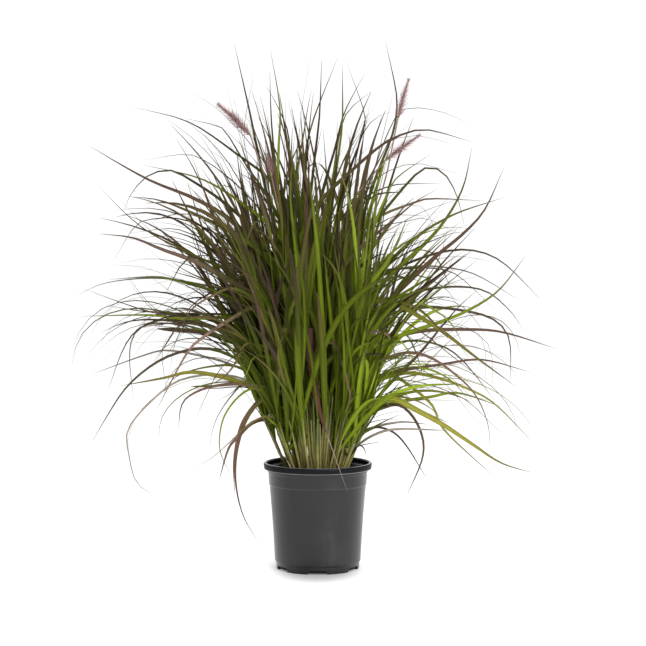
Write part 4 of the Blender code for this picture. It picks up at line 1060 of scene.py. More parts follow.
def bristle_tree():
    """Sets fine bristles and seeds round a spike's axis."""
    board, given = geometry_board("bristles_round_a_spike", Bristles="Int", Seeds="Int",
                                  Length="Float", Thickness="Float", Spread="Float", Seed="Int",
                                  Material="Material")
    add = board.add
    line = add("GeometryNodeMeshToCurve", None, (given["Geometry"],))
    tall = board.part(add("GeometryNodeInputPosition"), "Z")
    bristle = add("GeometryNodeMeshCone", {"fill_type": 'NGON'},
                  {"Vertices": 3, "Side Segments": 3, "Radius Top": given["Thickness"] * 0.15,
                   "Radius Bottom": given["Thickness"], "Depth": given["Length"]})
    seed = add("GeometryNodeMeshUVSphere", None, {"Segments": 5, "Rings": 4})
    seed = add("GeometryNodeTransform", None,
               {"Geometry": seed, "Translation": (0, 0, 2 * MM),
                "Scale": (1.1 * MM, 1.1 * MM, 2.6 * MM)})
    parts = []
    # Of each kind: its shape, how far along itself a point is, how many, its seed, and the least
    # and the range of its lean and of its size
    for shape, along, count, offset, lean, grow in (
            (bristle, tall / given["Length"], given["Bristles"], 0, (0.55, 0.75), (0.7, 0.6)),
            (seed, tall * 100, given["Seeds"], 7, (0.25, 0.3), (0.8, 0.4))):
        points = add("GeometryNodeCurveToPoints", {"mode": 'COUNT'}, {"Curve": line, "Count": count})
        spin = board.other(points, "Rotation")
        chance = board.chance(given["Seed"] + offset)
        lean = lean[0] + chance * lean[1]
        if shape is bristle:
            lean = lean * given["Spread"]
        turn = add("GeometryNodeInputIndex") * GOLDEN_ANGLE + chance * 0.8
        for axis, angle in (((0, 0, 1), turn), ((1, 0, 0), lean)):
            by = add("FunctionNodeAxisAngleToRotation", None, {"Axis": axis, "Angle": angle})
            spin = add("FunctionNodeRotateRotation", {"rotation_space": 'LOCAL'},
                       {"Rotation": spin, "Rotate By": by})
        size = board.named("reach") * (grow[0] + chance * grow[1])
        parts.append(board.placed(points, board.kept(shape, "along", along), spin,
                                  board.vector(size, size, size), chance))
    return close_tree(board, parts, (given["Material"], True))


def chip_tree():
    """Scatters bark chips over the top of the soil."""
    board, given = geometry_board("bark_chips_on_soil", Density="Float", Reach="Float", Size="Float",
                                  Seed="Int", Material="Material")
    add = board.add
    up = board.part(add("GeometryNodeInputNormal"), "Z")
    away = board.length(board.stretched(add("GeometryNodeInputPosition"), (1, 1, 0)))
    on_top = up.math('GREATER_THAN', 0.6) * given["Reach"].math('GREATER_THAN', away)
    scattered = add("GeometryNodeDistributePointsOnFaces", {"distribute_method": 'RANDOM'},
                    {"Mesh": given["Geometry"], "Selection": on_top,
                     "Density": given["Density"], "Seed": given["Seed"]})
    ragged = board.chance(5, (-0.3, -0.3, -0.3), (0.3, 0.3, 0.3))
    chip = add("GeometryNodeMeshIcoSphere", None, {"Subdivisions": 1})
    chip = add("GeometryNodeSetPosition", None, {"Geometry": chip, "Offset": ragged})
    turn = board.chance(9, (-0.5, -0.5, 0), (0.5, 0.5, 6.28))
    turn = add("FunctionNodeEulerToRotation", None, (turn,))
    size = board.chance(13, (0.35, 0.25, 0.12), (1.2, 0.8, 0.4))
    size = board.stretched(size, board.vector(given["Size"], given["Size"], given["Size"]))
    chips = board.placed(scattered, chip, turn, size, board.chance(17))
    return close_tree(board, [chips], (given["Material"], True), smooth=False)


# ---- strands of leaf and culm


TONES = {
    # inner colour at the foot, outer colour towards the tip
    "p": ((0.090, 0.125, 0.009), (0.084, 0.050, 0.034)),
    "m": ((0.096, 0.120, 0.013), (0.150, 0.094, 0.073)),
    "k": ((0.060, 0.084, 0.007), (0.047, 0.033, 0.021)),
    "b": ((0.098, 0.128, 0.009), (0.106, 0.078, 0.028)),
    "o": ((0.108, 0.145, 0.009), (0.114, 0.110, 0.018)),
    "g": ((0.124, 0.174, 0.009), (0.116, 0.150, 0.011)),
    "y": ((0.162, 0.226, 0.011), (0.192, 0.260, 0.018)),
    "h": ((0.120, 0.150, 0.060), (0.200, 0.170, 0.145)),
    "s": ((0.300, 0.260, 0.120), (0.420, 0.340, 0.190)),
    "w": ((0.085, 0.060, 0.034), (0.082, 0.034, 0.027)),
}
CULM_TONES = ((0.27, 0.28, 0.055), (0.22, 0.26, 0.040), (0.34, 0.27, 0.12), (0.10, 0.12, 0.025),
              (0.34, 0.32, 0.085))
# The clump's dense mass, in centimetres on the upright plane
MASS_MIDDLE = (-1, 36)
MASS_EDGE = ((-3, 17), (-4.5, 22), (-6, 26), (-10, 30), (-14.5, 35), (-17, 40), (-17, 46),
             (-19, 52), (-20.5, 57), (-17, 61), (-12, 68), (-7, 72), (3, 64), (7, 62), (10, 57),
             (10, 50), (11, 45), (12, 40), (12, 35), (15, 31), (17.5, 26), (12.5, 20.5), (6, 17))
# Sprays of further leaves: how many, the middle of their tips and how far the tips are strewn
# (centimetres on the upright plane), how far they bend over, their widths and their tones
SPRAYS = (
    (12, (-28, 54), (6, 5), (0.6, 1.3), (6, 12), "kkbpkbo"),
    (6, (-20, 66), (5, 3), (0.2, 0.8), (6, 11), "kbkpb"),
    (9, (-4.5, 71), (4, 3), (0.0, 0.5), (8, 13), "kbkokp"),
    (8, (8, 70), (3, 3), (0.1, 0.6), (7, 12), "kbopk"),
    (10, (-33, 34), (4, 8), (1.1, 1.9), (1.5, 4), "kkbkpk"),
    (6, (-25, 24), (5, 5), (1.1, 1.9), (1.5, 3.5), "kbkop"),
    (4, (17, 52), (4, 4), (0.2, 0.8), (4, 8), "kbkok"),
    (4, (-27, 37), (3, 2), (0.8, 1.3), (4, 8), "pkbm"),
    (3, (31, 34), (4, 6), (0.9, 1.8), (1.5, 3.5), "kkbpk"),
    (7, (23, 48), (6, 4), (0.0, 0.4), (7, 11), "gogbypk"),
    (6, (22, 25), (5, 3), (0.6, 1.2), (3, 8), "yygygo"),
    (4, (30, 20), (4, 4), (1.0, 1.8), (1.5, 3), "kbkob"),
)
# The burgundy leaf in front hangs free: no further leaf passes before it
FREE_MIDDLE, FREE_HALF = 4 * MM, 22 * MM
FREE_HEIGHTS = (200 * MM, 375 * MM)
FREE_DEPTH = -34 * MM
BOX_SPARE = 4 * MM                      # how far further leaves keep inside the solids' box
SPIKE_FULLNESS = (1.15, 0.9, 0.95, 0.85)
FILAMENT = 0.26 * MM                    # least half width of a leaf's long thin end
CULM_CUTS = 12
LITTER_REACH = 68 * MM                  # how far from the axis dry litter lies
FURTHEST_REACH = 2.1                    # of fine and side leaves, as a share of the mass
COMPANION_TRIES = 40
# The leaves that sweep up and over. Lengths and lowest height are in metres, widths in
# millimetres, bends in radians. A reach is a share of the mass.
INNER_LEAVES = {"starts": (0.3, 1.0), "spread": 0.9, "lengths": (0.22, 0.52), "rises": (1.10, 1.53),
                "droops": (0.0, 0.6), "curls": (-1.1, 1.1), "reaches": (0.85, 1.2), "lowest": 0.225,
                "widths": (4, 10.5), "changes": (0.3, 0.85)}
MANTLE_LEAVES = {**INNER_LEAVES, "spread": 0.85, "lengths": (0.18, 0.42), "rises": (0.8, 1.4),
                 "droops": (0.2, 1.3), "reaches": (0.8, 1.15), "widths": (3.5, 8.8)}
YOUNG_LEAVES = {"starts": (0.1, 0.5), "spread": 0.7, "lengths": (0.05, 0.16), "rises": (0.9, 1.4),
                "droops": (0.2, 1.4), "curls": (-0.8, 0.8), "reach": 1.05, "lowest": 0.172,
                "widths": (2, 4.5), "changes": (0.6, 1.0), "tones": "gyoogbo"}
STRAND_LAYERS = (("change", 'FLOAT'), ("chance", 'FLOAT'), ("dry", 'FLOAT'), ("culm", 'BOOLEAN'),
                 ("inner_colour", 'FLOAT_VECTOR'), ("outer_colour", 'FLOAT_VECTOR'))
POINT_LAYERS = (("reach", 'FLOAT'), ("along", 'FLOAT'), ("strand", 'FLOAT'), ("side", 'FLOAT_VECTOR'),
                *STRAND_LAYERS)
PASSING_LAYERS = ("side", "reach", "culm", "strand", "around")  # dropped once a piece is grown


@functools.cache
def plant():
    """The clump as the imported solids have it, worked out once."""
    return grown_plant()


def slender_share(share, leaf):
    """Width of a grown blade along its length, as a share of its greatest width."""
    rise = min(share / 0.3, 1)
    rise = 0.5 + 0.5 * rise * rise * (3 - 2 * rise)
    if leaf.get("blunt"):
        return rise * (1 if share < 0.94 else 0.75)
    if leaf.get("dry"):
        return rise * (1 - 0.84 * min(max((share - 0.60) / 0.18, 0), 1)) * (1 - share ** 6) + 0.02
    return rise * (1 - share ** (3.2 if leaf.get("free") else 2.4)) + 0.02


def blade_strand(leaf, cuts, chance, settings):
    """A blade's midrib with what its points carry."""
    line = smooth_line(leaf["path"], cuts)
    twist = chance.uniform(-1, 1) * settings.twist
    own = chance.random()
    shade = 0.82 + 0.36 * chance.random()
    half = 0.5 * leaf["width"] * (1 if leaf.get("free") else settings.widening)
    reach = [max(half * slender_share(index / cuts, leaf), FILAMENT) for index in range(cuts)]
    inner, outer = [tuple(part * shade for part in colour) for colour in TONES[leaf["tone"]]]
    return {"line": line, "side": blade_sides(line, leaf["facing"], leaf["turn"], twist),
            "reach": [*reach, 0.35 * reach[-1]], "culm": False, "dry": leaf.get("dry", 0.0),
            "change": leaf["change"] + chance.uniform(-0.08, 0.14), "chance": own,
            "inner_colour": inner, "outer_colour": outer}


def tube_strand(line, radii, chance, inner, outer):
    """A round stalk or culm with what its points carry."""
    sides = [heading(line, index).cross(Vector((0, 1, 0))).normalized() for index in range(len(line))]
    return {"line": line, "side": sides, "culm": True, "dry": 0.0, "reach": radii, "change": 0.5,
            "chance": chance.random(), "inner_colour": inner, "outer_colour": outer}


def culm_strand(shoot, chance):
    """A culm wrapped in its leaf sheaths, a little wavy and swollen at its joints."""
    foot, top = shoot["culm"]
    wave = Vector((chance.uniform(-1, 1), chance.uniform(-1, 1), 0)) * MM
    shares = [index / CULM_CUTS for index in range(CULM_CUTS + 1)]
    line = [foot.lerp(top, share) + wave * math.sin(math.pi * share) for share in shares]
    line[0] = line[0] - Vector((0, 0, 3 * MM))
    radii = [CULM_FOOT_RADIUS + (CULM_TOP_RADIUS - CULM_FOOT_RADIUS) * index / CULM_CUTS
             + 0.25 * MM * math.sin(index * 2.1 + foot.x * 900) for index in range(CULM_CUTS + 1)]
    green = chance.choice(CULM_TONES)
    return tube_strand(line, radii, chance, green, green)


def strand_mesh(name, strands):
    """Bare midribs as a mesh whose points carry what the growing tree asks for."""
    points = []
    edges = []
    layers = {layer: [] for layer, _ in POINT_LAYERS}
    for number, strand in enumerate(strands):
        start = len(points)
        size = len(strand["line"])
        points += strand["line"]
        edges += [(start + index, start + index + 1) for index in range(size - 1)]
        layers["reach"] += strand["reach"]
        layers["along"] += [index / (size - 1) for index in range(size)]
        layers["side"] += strand["side"]
        layers["strand"] += [number] * size
        for layer, _ in STRAND_LAYERS:
            layers[layer] += [strand[layer]] * size
    mesh = bpy.data.meshes.new(name)
    mesh.from_pydata(points, edges, [])
    for layer, kind in POINT_LAYERS:
        field = "vector" if kind == 'FLOAT_VECTOR' else "value"
        values = np.array(layers[layer], np.float32 if kind != 'BOOLEAN' else bool).ravel()
        mesh.attributes.new(layer, kind, 'POINT').data.foreach_set(field, values)
    return mesh


def put_in_scene(name, data):
    """A new object in the scene."""
    thing = bpy.data.objects.new(name, data)
    bpy.context.scene.collection.objects.link(thing)
    return thing


def hand_over(thing, slot, replaced=None):
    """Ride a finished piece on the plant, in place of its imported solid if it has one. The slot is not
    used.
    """
    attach(thing, "root")
    if replaced:
        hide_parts(replaced)


def read_out(items, field, size, kind):
    """One value of every item as an array."""
    values = np.empty(size, kind)
    items.foreach_get(field, values)
    return values


def unroll(mesh, columns):
    """Give each strand its own column of the bake map, with its length running up it."""
    corner_vertex = read_out(mesh.loops, "vertex_index", len(mesh.loops), np.int32)
    starts = read_out(mesh.polygons, "loop_start", len(mesh.polygons), np.int32)
    around, along, strand = [
        read_out(mesh.attributes[layer].data, "value", len(mesh.vertices), np.float32)[corner_vertex]
        for layer in ("around", "along", "strand")]
    spans = np.diff(np.append(starts, len(mesh.loops)))
    furthest = np.repeat(np.maximum.reduceat(around, starts), spans)
    around = np.where(around < furthest - 0.5, around + 1, around)
    across = (np.round(strand) + 0.08 + 0.84 * around) / columns
    places = np.stack((across, 0.01 + 0.98 * along), 1).astype(np.float32)
    mesh.uv_layers.new(name="OFBake").data.foreach_set("uv", places.ravel())


def grow(name, strands, materials, slot="grass_leaf", replaced=None):
    """A finished piece of blades and culms grown along midribs."""
    thing = put_in_scene(name, strand_mesh(name, strands))
    run_tree(thing, materials["tree"], Fold=0.26, Thickness=0.10, Sides=10,
             Blade=materials["blade"], Culm=materials["culm"])
    unroll(thing.data, len(strands))
    thing.data.set_sharp_from_angle(angle=math.radians(50))
    for layer in PASSING_LAYERS:
        thing.data.attributes.remove(thing.data.attributes[layer])
    hand_over(thing, slot, replaced)


@functools.cache
def grass_materials():
    """The growing tree and the grass materials, made once."""
    settings = bpy.context.scene.grass_leaves
    return {"tree": blade_tree(), "blade": leaf_material(settings),
            "culm": culm_material(settings), "dry": dry_material(settings)}


def grow_group(name, leaves, settings, parts):
    """Grow many leaves as a few joined pieces."""
    chance = random.Random(settings.seed + len(leaves))
    for part in range(parts):
        strands = [blade_strand(leaf, settings.extra_cuts, chance, settings)
                   for leaf in leaves[part::parts]]
        grow(f"{name}_{part + 1}" if parts > 1 else name, strands, grass_materials())


def side_shoot(number, count, chance):
    """A slight shoot between the main ones, from the soil to where its leaves part from it."""
    distance = 0.94 * CLUMP_RADIUS * math.sqrt((number + 0.2) / count)
    angle = number * GOLDEN_ANGLE + 1.1
    foot, top = culm_line(distance * math.cos(angle), distance * math.sin(angle))
    strayed = Vector((chance.gauss(0, 4), chance.gauss(0, 4), 0)) * MM
    strand = culm_strand({"culm": (foot, foot.lerp(top, chance.uniform(0.7, 1.15)) + strayed)}, chance)
    thin = chance.uniform(0.5, 0.85)
    strand["reach"] = [radius * thin for radius in strand["reach"]]
    return strand


# ---- further leaves


def swept(start, bearing, length, rise, droop, curl):
    """A path that rises from a culm and bends over, as grass does under its own weight."""
    path = [start]
    for step in range(9):
        share = (step + 0.5) / 9
        pitch = rise - droop * share ** 1.6
        way = bearing + curl * share
        flat = length / 9 * math.cos(pitch)
        path.append(path[-1] + Vector((flat * math.cos(way), flat * math.sin(way),
                                       length / 9 * math.sin(pitch))))
    return path


def from_middle(x, z):
    """Bearing and distance of a seen point from the middle of the clump's mass."""
    away_x, away_z = x - MASS_MIDDLE[0] * CM, z - MASS_MIDDLE[1] * CM
    return math.atan2(away_z, away_x), math.hypot(away_x, away_z)


@functools.cache
def mass_corners():
    """Bearings and distances of the mass's corners, once round and one more at either end."""
    corners = sorted(from_middle(x * CM, z * CM) for x, z in MASS_EDGE)
    (first, near), (last, far) = corners[0], corners[-1]
    return [(last - 2 * math.pi, far), *corners, (first + 2 * math.pi, near)]


def mass_reach(x, z):
    """How far out a seen point lies: 1 is the edge of the clump's dense mass."""
    angle, away = from_middle(x, z)
    for (start, near), (end, far) in zip(mass_corners(), mass_corners()[1:]):
        if start <= angle <= end:
            return away / (near + (far - near) * (angle - start) / (end - start))
    raise ValueError(f"no stretch of the mass's edge is at {angle}")


def inside(path, reach, lowest):
    """Whether a path keeps inside the clump's outline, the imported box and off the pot's front."""
    low, high = CAD_BOX
    for index, point in enumerate(path):
        seen = drawn(point)
        if index > 2 and (seen.y < lowest or mass_reach(seen.x, seen.y) > reach):
            return False
        if (abs(seen.x - FREE_MIDDLE) < FREE_HALF and FREE_HEIGHTS[0] < seen.y < FREE_HEIGHTS[1]
                and point.y < FREE_DEPTH):
            return False
        if any(point[axis] < low[axis] + BOX_SPARE or point[axis] > high[axis] - BOX_SPARE
               for axis in range(3)):
            return False
    return True


def place_tone(path, chance):
    """A tone for a further leaf: dark and purple high up and at the left, fresh green low and right. The
    purple high up is the leaves' own; the darker left and lighter right are partly painted shade and
    painted light.
    """
    seen = drawn(path[len(path) * 2 // 3])
    # Partly painted light: tones are picked darker at the left and lighter at the right, standing for
    # shade and light that fall there.
    dark = (seen.y - 0.40) / 0.22 - seen.x / (0.17 if seen.x > 0 else 0.24) + chance.gauss(0, 0.55)
    for least, tones in ((1.0, "kkpkbkb"), (0.2, "kbopkob"), (-0.7, "ogyggbko")):
        if dark > least:
            return chance.choice(tones)
    return chance.choice("gyygyoy")


def free_leaf(path, chance, tone, width, change):
    """A further leaf on a path, with its face turned up and out."""
    outward = (path[-1] - path[0]).normalized()
    facing = Vector((outward.x, outward.y, 0)) * 0.6 + Vector((0, 0, 1))
    return {"path": path, "facing": facing.normalized(), "turn": chance.uniform(-1.1, 1.1),
            "width": width, "tone": tone, "change": change, "free": True}


def swept_leaves(seed, count, form):
    """As many leaves as asked that sweep up from the culms and over, all of one form."""
    def pick(what):
        return chance.uniform(*form[what])

    chance = random.Random(seed)
    leaves = []
    while len(leaves) < count:
        foot, top = chance.choice(plant()[0])["culm"]
        start = foot.lerp(top, pick("starts"))
        bearing = math.atan2(top.y, top.x) + chance.gauss(0, form["spread"])
        path = swept(start, bearing, pick("lengths"), pick("rises"), pick("droops"), pick("curls"))
        if inside(path, form.get("reach") or pick("reaches"), form["lowest"]):
            tone = chance.choice(form["tones"]) if "tones" in form else place_tone(path, chance)
            leaves.append(free_leaf(path, chance, tone, pick("widths") * MM, pick("changes")))
    return leaves


def companion_leaves(seed, count, turns, widths, lowest, tones=""):
    """Leaves that follow the drawn ones at another bearing and size, of given tones if any."""
    chance = random.Random(seed)
    models = [leaf for shoot in plant()[0] for leaf in shoot["leaves"]]
    leaves = []
    for _ in range(COMPANION_TRIES * count):
        if len(leaves) == count:
            break
        model = chance.choice(models)
        spin = Matrix.Rotation(math.radians(chance.uniform(*chance.choice(turns))), 3, 'Z')
        scale = chance.uniform(0.72, 0.97)
        foot = model["path"][0]
        rise = chance.uniform(-0.02, 0.01)
        path = [spin @ (foot + (point - foot) * scale) + Vector((0, 0, rise * index / 6))
                for index, point in enumerate(model["path"])]
        if inside(path, FURTHEST_REACH, lowest):
            tone = chance.choice(tones) if tones else place_tone(path, chance)
            leaves.append(free_leaf(path, chance, tone, chance.uniform(*widths) * MM, model["change"]))
    return leaves


def spray_path(chance, tip, bend):
    """A path that leaves a culm under its tip's bearing and bends over towards the tip."""
    foot, top = chance.choice(nearest_shoots(plant()[0], tip.x, tip.z, 0.25 * tip.y)[:8])["culm"]
    start = foot.lerp(top, chance.uniform(0.55, 1.0))
    span = tip - start
    ending = span.normalized()
    ending = (Matrix.Rotation(bend, 3, ending.cross(Vector((0, 0, -1)))) @ ending).normalized()
    rising = start + (top - foot).normalized() * ((0.30 + 0.2 * bend) * span.length)
    return bow(start, rising, tip - ending * (0.40 * span.length), tip, 14)


def spray_leaves(seed, sprays):
    """Leaves whose tips gather where the photograph shows them thickest."""
    chance = random.Random(seed)
    leaves = []
    for count, (x, z), (wide, high), bends, widths, tones in SPRAYS:
        for _ in range(round(count * sprays)):
            tip = carried(chance.gauss(x, 0.5 * wide) * CM, chance.gauss(z, 0.5 * high) * CM,
                          chance.uniform(-15, 15) * CM)
            path = spray_path(chance, tip, chance.uniform(*bends))
            if inside(path, 9, 5 * CM):
                leaves.append(free_leaf(path, chance, chance.choice(tones),
                                        chance.uniform(*widths) * MM, chance.uniform(0.2, 0.6)))
    return leaves


def litter_strands(settings):
    """Dry curled sheaths and threads among the feet, most of them at the left."""
    chance = random.Random(settings.seed + 5)
    strands = []
    for number in range(settings.litter):
        left = number < settings.litter * 0.6
        angle = math.pi + chance.uniform(-0.6, 0.6) if left else chance.uniform(0, 2 * math.pi)
        distance = chance.uniform(34, 56) * MM
        spot = Vector((distance * math.cos(angle), distance * math.sin(angle),
                       soil_height(distance) + 2 * MM))
        rise = chance.uniform(0.2, 1.3)
        path = swept(spot, chance.uniform(0, 6.28), chance.uniform(18, 42) * MM, rise,
                     chance.uniform(-0.6, 2.4), chance.uniform(-2, 2))
        for point in path:
            away = math.hypot(point.x, point.y)
            point.z = max(point.z, soil_height(min(away, 70 * MM)) + 1.5 * MM)
            if away > LITTER_REACH and point.z < POT_HEIGHT + 3 * MM:
                point.x *= LITTER_REACH / away
                point.y *= LITTER_REACH / away
        leaf = free_leaf(path, chance, "s", chance.uniform(0.9, 3) * MM, 0.5)
        strands.append(blade_strand(leaf, 12, chance, settings))
    return strands


# ---- pot and soil


def rounded(corners, steps):
    """A profile whose corners (radius, height, rounding) are rounded, apart from its ends."""
    places = [Vector(corner[:2]) for corner in corners]
    line = [places[0]]
    for last, corner, following, (_, _, radius) in zip(places, places[1:], places[2:], corners[1:]):
        before, after = last - corner, following - corner
        radius = min(radius, 0.45 * before.length, 0.45 * after.length)
        one = corner + before.normalized() * radius
        other = corner + after.normalized() * radius
        for t in (step / steps for step in range(steps + 1)):
            line.append(one * (1 - t) ** 2 + corner * 2 * t * (1 - t) + other * t * t)
    return line + places[-1:]


def pot_section():
    """The pot's section, from the middle of its underside up the outside and down the inside."""
    roll_x, roll_z = RIM_RADIUS - RIM_ROLL, POT_HEIGHT - RIM_ROLL
    taper = [(radius, height, 1.2 * MM if height == FOOT_HEIGHT else 12 * MM)
             for height, radius in WALL_TAPER]
    line = rounded([(0, 0.8 * MM, 0), (FOOT_RADIUS - 7 * MM, 0.8 * MM, 0.5 * MM),
                    (FOOT_RADIUS - 6 * MM, 0, 0.5 * MM), (FOOT_RADIUS - EDGE, 0, 1.0 * MM),
                    (FOOT_RADIUS, FOOT_HEIGHT - WALL, 1.2 * MM), *taper,
                    (BAND_RADIUS, BAND_HEIGHT, 0.5 * MM), (BAND_RADIUS, BAND_HEIGHT + LEDGE, 0.4 * MM),
                    (BAND_RADIUS + 2 * EDGE, COLLAR_STEP_HEIGHT - EDGE, 1.2 * MM),
                    (COLLAR_TOP_RADIUS - EDGE, COLLAR_STEP_HEIGHT + EDGE, 1.2 * MM),
                    (COLLAR_TOP_RADIUS, POT_HEIGHT - RIM_DEPTH, 1.0 * MM),
                    (RIM_RADIUS - RIM_TUCK, POT_HEIGHT - RIM_DEPTH, 0.8 * MM),
                    (RIM_RADIUS, roll_z, 0)], 4)[:-1]
    for angle in (math.pi * step / 12 for step in range(13)):
        line.append(Vector((roll_x + RIM_ROLL * math.cos(angle), roll_z + RIM_ROLL * math.sin(angle))))
    inner = [(roll_x - RIM_ROLL, roll_z), (roll_x - RIM_ROLL, POT_HEIGHT - RIM_DEPTH + RIM_ROLL),
             (BAND_RADIUS - WALL + 2 * EDGE, COLLAR_STEP_HEIGHT)]
    inner += [(radius - WALL, height + 2 * EDGE) for height, radius in reversed(WALL_TAPER)]
    inner += [(FOOT_RADIUS - WALL, FOOT_HEIGHT - 2 * EDGE), (FOOT_RADIUS - EDGE - WALL, FLOOR),
              (0, FLOOR)]
    return line + rounded([(*corner, 1.5 * MM) for corner in inner], 3)[1:]


def mesh_of(bm, name):
    """A bmesh made into a mesh."""
    mesh = bpy.data.meshes.new(name)
    bm.to_mesh(mesh)
    bm.free()
    return mesh


def turned(name, section, steps):
    """A solid turned about the Z axis from its section."""
    bm = bmesh.new()
    corners = [bm.verts.new((point.x, 0, point.y)) for point in section]
    for one, other in zip(corners, corners[1:]):
        bm.edges.new((one, other))
    thing = put_in_scene(name, mesh_of(bm, name))
    screw = thing.modifiers.new("turn", 'SCREW')
    screw.steps = screw.render_steps = steps
    screw.use_merge_vertices = True
    screw.merge_threshold = 0.01 * MM
    screw.use_normal_calculate = True
    settle(thing)
    return thing


def notch_cutter(angle):
    """A rounded block that cuts one drain notch through the foot."""
    bm = bmesh.new()
    bmesh.ops.create_cube(bm, size=1)
    length = NOTCH_DEPTH + NOTCH_REACH
    bmesh.ops.scale(bm, vec=(length, NOTCH_WIDTH, 2 * NOTCH_HEIGHT), verts=bm.verts)
    upright = [edge for edge in bm.edges
               if abs((edge.verts[0].co - edge.verts[1].co).normalized().x) > 0.9]
    bmesh.ops.bevel(bm, geom=upright, offset=1.6 * MM, segments=3, affect='EDGES')
    bmesh.ops.translate(bm, vec=(FOOT_RADIUS + NOTCH_REACH - length / 2, 0, 0), verts=bm.verts)
    bmesh.ops.rotate(bm, matrix=Matrix.Rotation(angle, 3, 'Z'), verts=bm.verts)
    return put_in_scene("notch_cutter", mesh_of(bm, "notch_cutter"))


def coat(thing, material):
    """Smooth a solid's faces and give it its one material."""
    thing.data.shade_smooth()
    thing.data.materials.clear()
    thing.data.materials.append(material)


def make_pot(settings):
    """The nursery pot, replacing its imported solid."""
    pot = turned("nursery_pot", pot_section(), settings.steps)
    cutters = []
    for number in range(NOTCHES):
        cutters.append(notch_cutter(-math.pi / 2 + number * 2 * math.pi / NOTCHES))
        cut = pot.modifiers.new("notch", 'BOOLEAN')
        cut.operation = 'DIFFERENCE'
        cut.solver = 'EXACT'
        cut.object = cutters[-1]
    settle(pot)
    for cutter in cutters:
        bpy.data.objects.remove(cutter)
    coat(pot, plastic_material(settings))
    pot.data.set_sharp_from_angle(angle=math.radians(38))
    hand_over(pot, "pot_plastic", "pot")


def make_soil(settings):
    """The potting mix with its lumpy top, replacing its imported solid, and the chips on it."""
    edge = BAND_RADIUS - WALL - 2 * GAP
    rings = 30
    top = [Vector((edge * index / rings, soil_height(edge * index / rings))) for index in range(rings + 1)]
    side = [Vector((wall_radius(height) - WALL - 3 * GAP, height)) for height in
            (127 * MM, 79 * MM, 40 * MM, FOOT_HEIGHT + 3 * MM)]
    bottom_edge = FOOT_RADIUS - WALL - 1 * MM
    bottom = [Vector((bottom_edge, FOOT_HEIGHT - 2 * MM)), Vector((bottom_edge, FLOOR + GAP)),
              Vector((0, FLOOR + GAP))]
    soil = turned("potting_mix", list(reversed(top + side + bottom)), 120)
    for vertex in soil.data.vertices:
        if vertex.co.z > SOIL_EDGE - MM:
            away = math.hypot(vertex.co.x, vertex.co.y)
            lump = noise.fractal(vertex.co * 130, 0.6, 2.1, 4) * settings.lumps
            vertex.co.z += lump * min(1, (edge - away) / (6 * MM) + 0.3)
    coat(soil, soil_material())
    hand_over(soil, "potting_mix", "potting_soil")
    chips = put_in_scene("bark_chips", soil.data.copy())
    run_tree(chips, chip_tree(), Density=settings.chips / (math.pi * edge ** 2), Reach=edge - 5 * MM,
             Size=settings.chip_size, Seed=settings.seed, Material=bark_material())
    hand_over(chips, "potting_mix")


# ---- flowers


def make_flower(number, stalk, spike, settings, materials):
    """A flower stalk with its spike's core and the bristles round it."""
    chance = random.Random(settings.seed + number)
    lower = smooth_line(stalk, 14)
    core = smooth_line(spike, 12)
    radii = [STALK_RADIUS * (1.35 - 0.55 * index / 14) for index in range(15)]
    cores = [max(0.35 * SPIKE_RADIUS * (1 - (index / 12) ** 2) + 0.2 * MM, 0.3 * MM)
             for index in range(13)]
    strands = [tube_strand(lower, radii, chance, (0.10, 0.15, 0.03), (0.2, 0.1, 0.1)),
               tube_strand(core, cores, chance, (0.3, 0.15, 0.15), (0.3, 0.15, 0.15))]
    grow(f"flower_stalk_{number + 1}", strands, materials, "flower_spike", f"flower_stem_{number + 1}")
    swell = [SPIKE_FULLNESS[number] * (0.55 + 0.5 * math.sin(math.pi * min(1, 0.15 + index / 12) ** 0.8))
             for index in range(13)]
    name = f"flower_bristles_{number + 1}"
    axis = tube_strand(core, swell, chance, (0, 0, 0), (0, 0, 0))
    spikelets = put_in_scene(name, strand_mesh(name, [axis]))
    length = sum((b - a).length for a, b in zip(core, core[1:]))
    bristles = length * settings.bristles_per_metre
    run_tree(spikelets, materials["bristles"], Bristles=round(bristles), Seeds=round(bristles / 4),
             Length=settings.bristle_length, Thickness=settings.bristle_thickness,
             Spread=settings.spread, Seed=settings.seed + number, Material=materials["bristle"])
    hand_over(spikelets, "flower_spike")


# ---- studio


def add_light(name, place, target, size, power):
    """A square soft light aimed at a point."""
    light = bpy.data.lights.new(name, 'AREA')
    light.shape = 'SQUARE'
    light.size = size
    light.energy = power
    lamp = put_in_scene(name, light)
    lamp.location = place
    lamp.rotation_euler = (Vector(target) - Vector(place)).to_track_quat('-Z', 'Y').to_euler()


def studio_surround(settings):
    """A surround that is white behind the plant and dimmer behind the camera."""
    world = bpy.data.worlds.new("studio_surround")
    world.use_nodes = True
    world.node_tree.nodes.clear()
    board = Board(world.node_tree)
    ahead = board.part(board.place(), "Y").step(-0.6, 0.5)
    high = board.part(board.place(), "Z").step(0.0, 0.35)
    front = settings.dim_sky - high * settings.dim_sky * 0.6
    lit = ahead * settings.sky + (1 - ahead) * front
    surround = board.add("ShaderNodeBackground", None, {"Color": (1, 1, 1), "Strength": lit})
    board.add("ShaderNodeOutputWorld", None, (surround,))
    return world


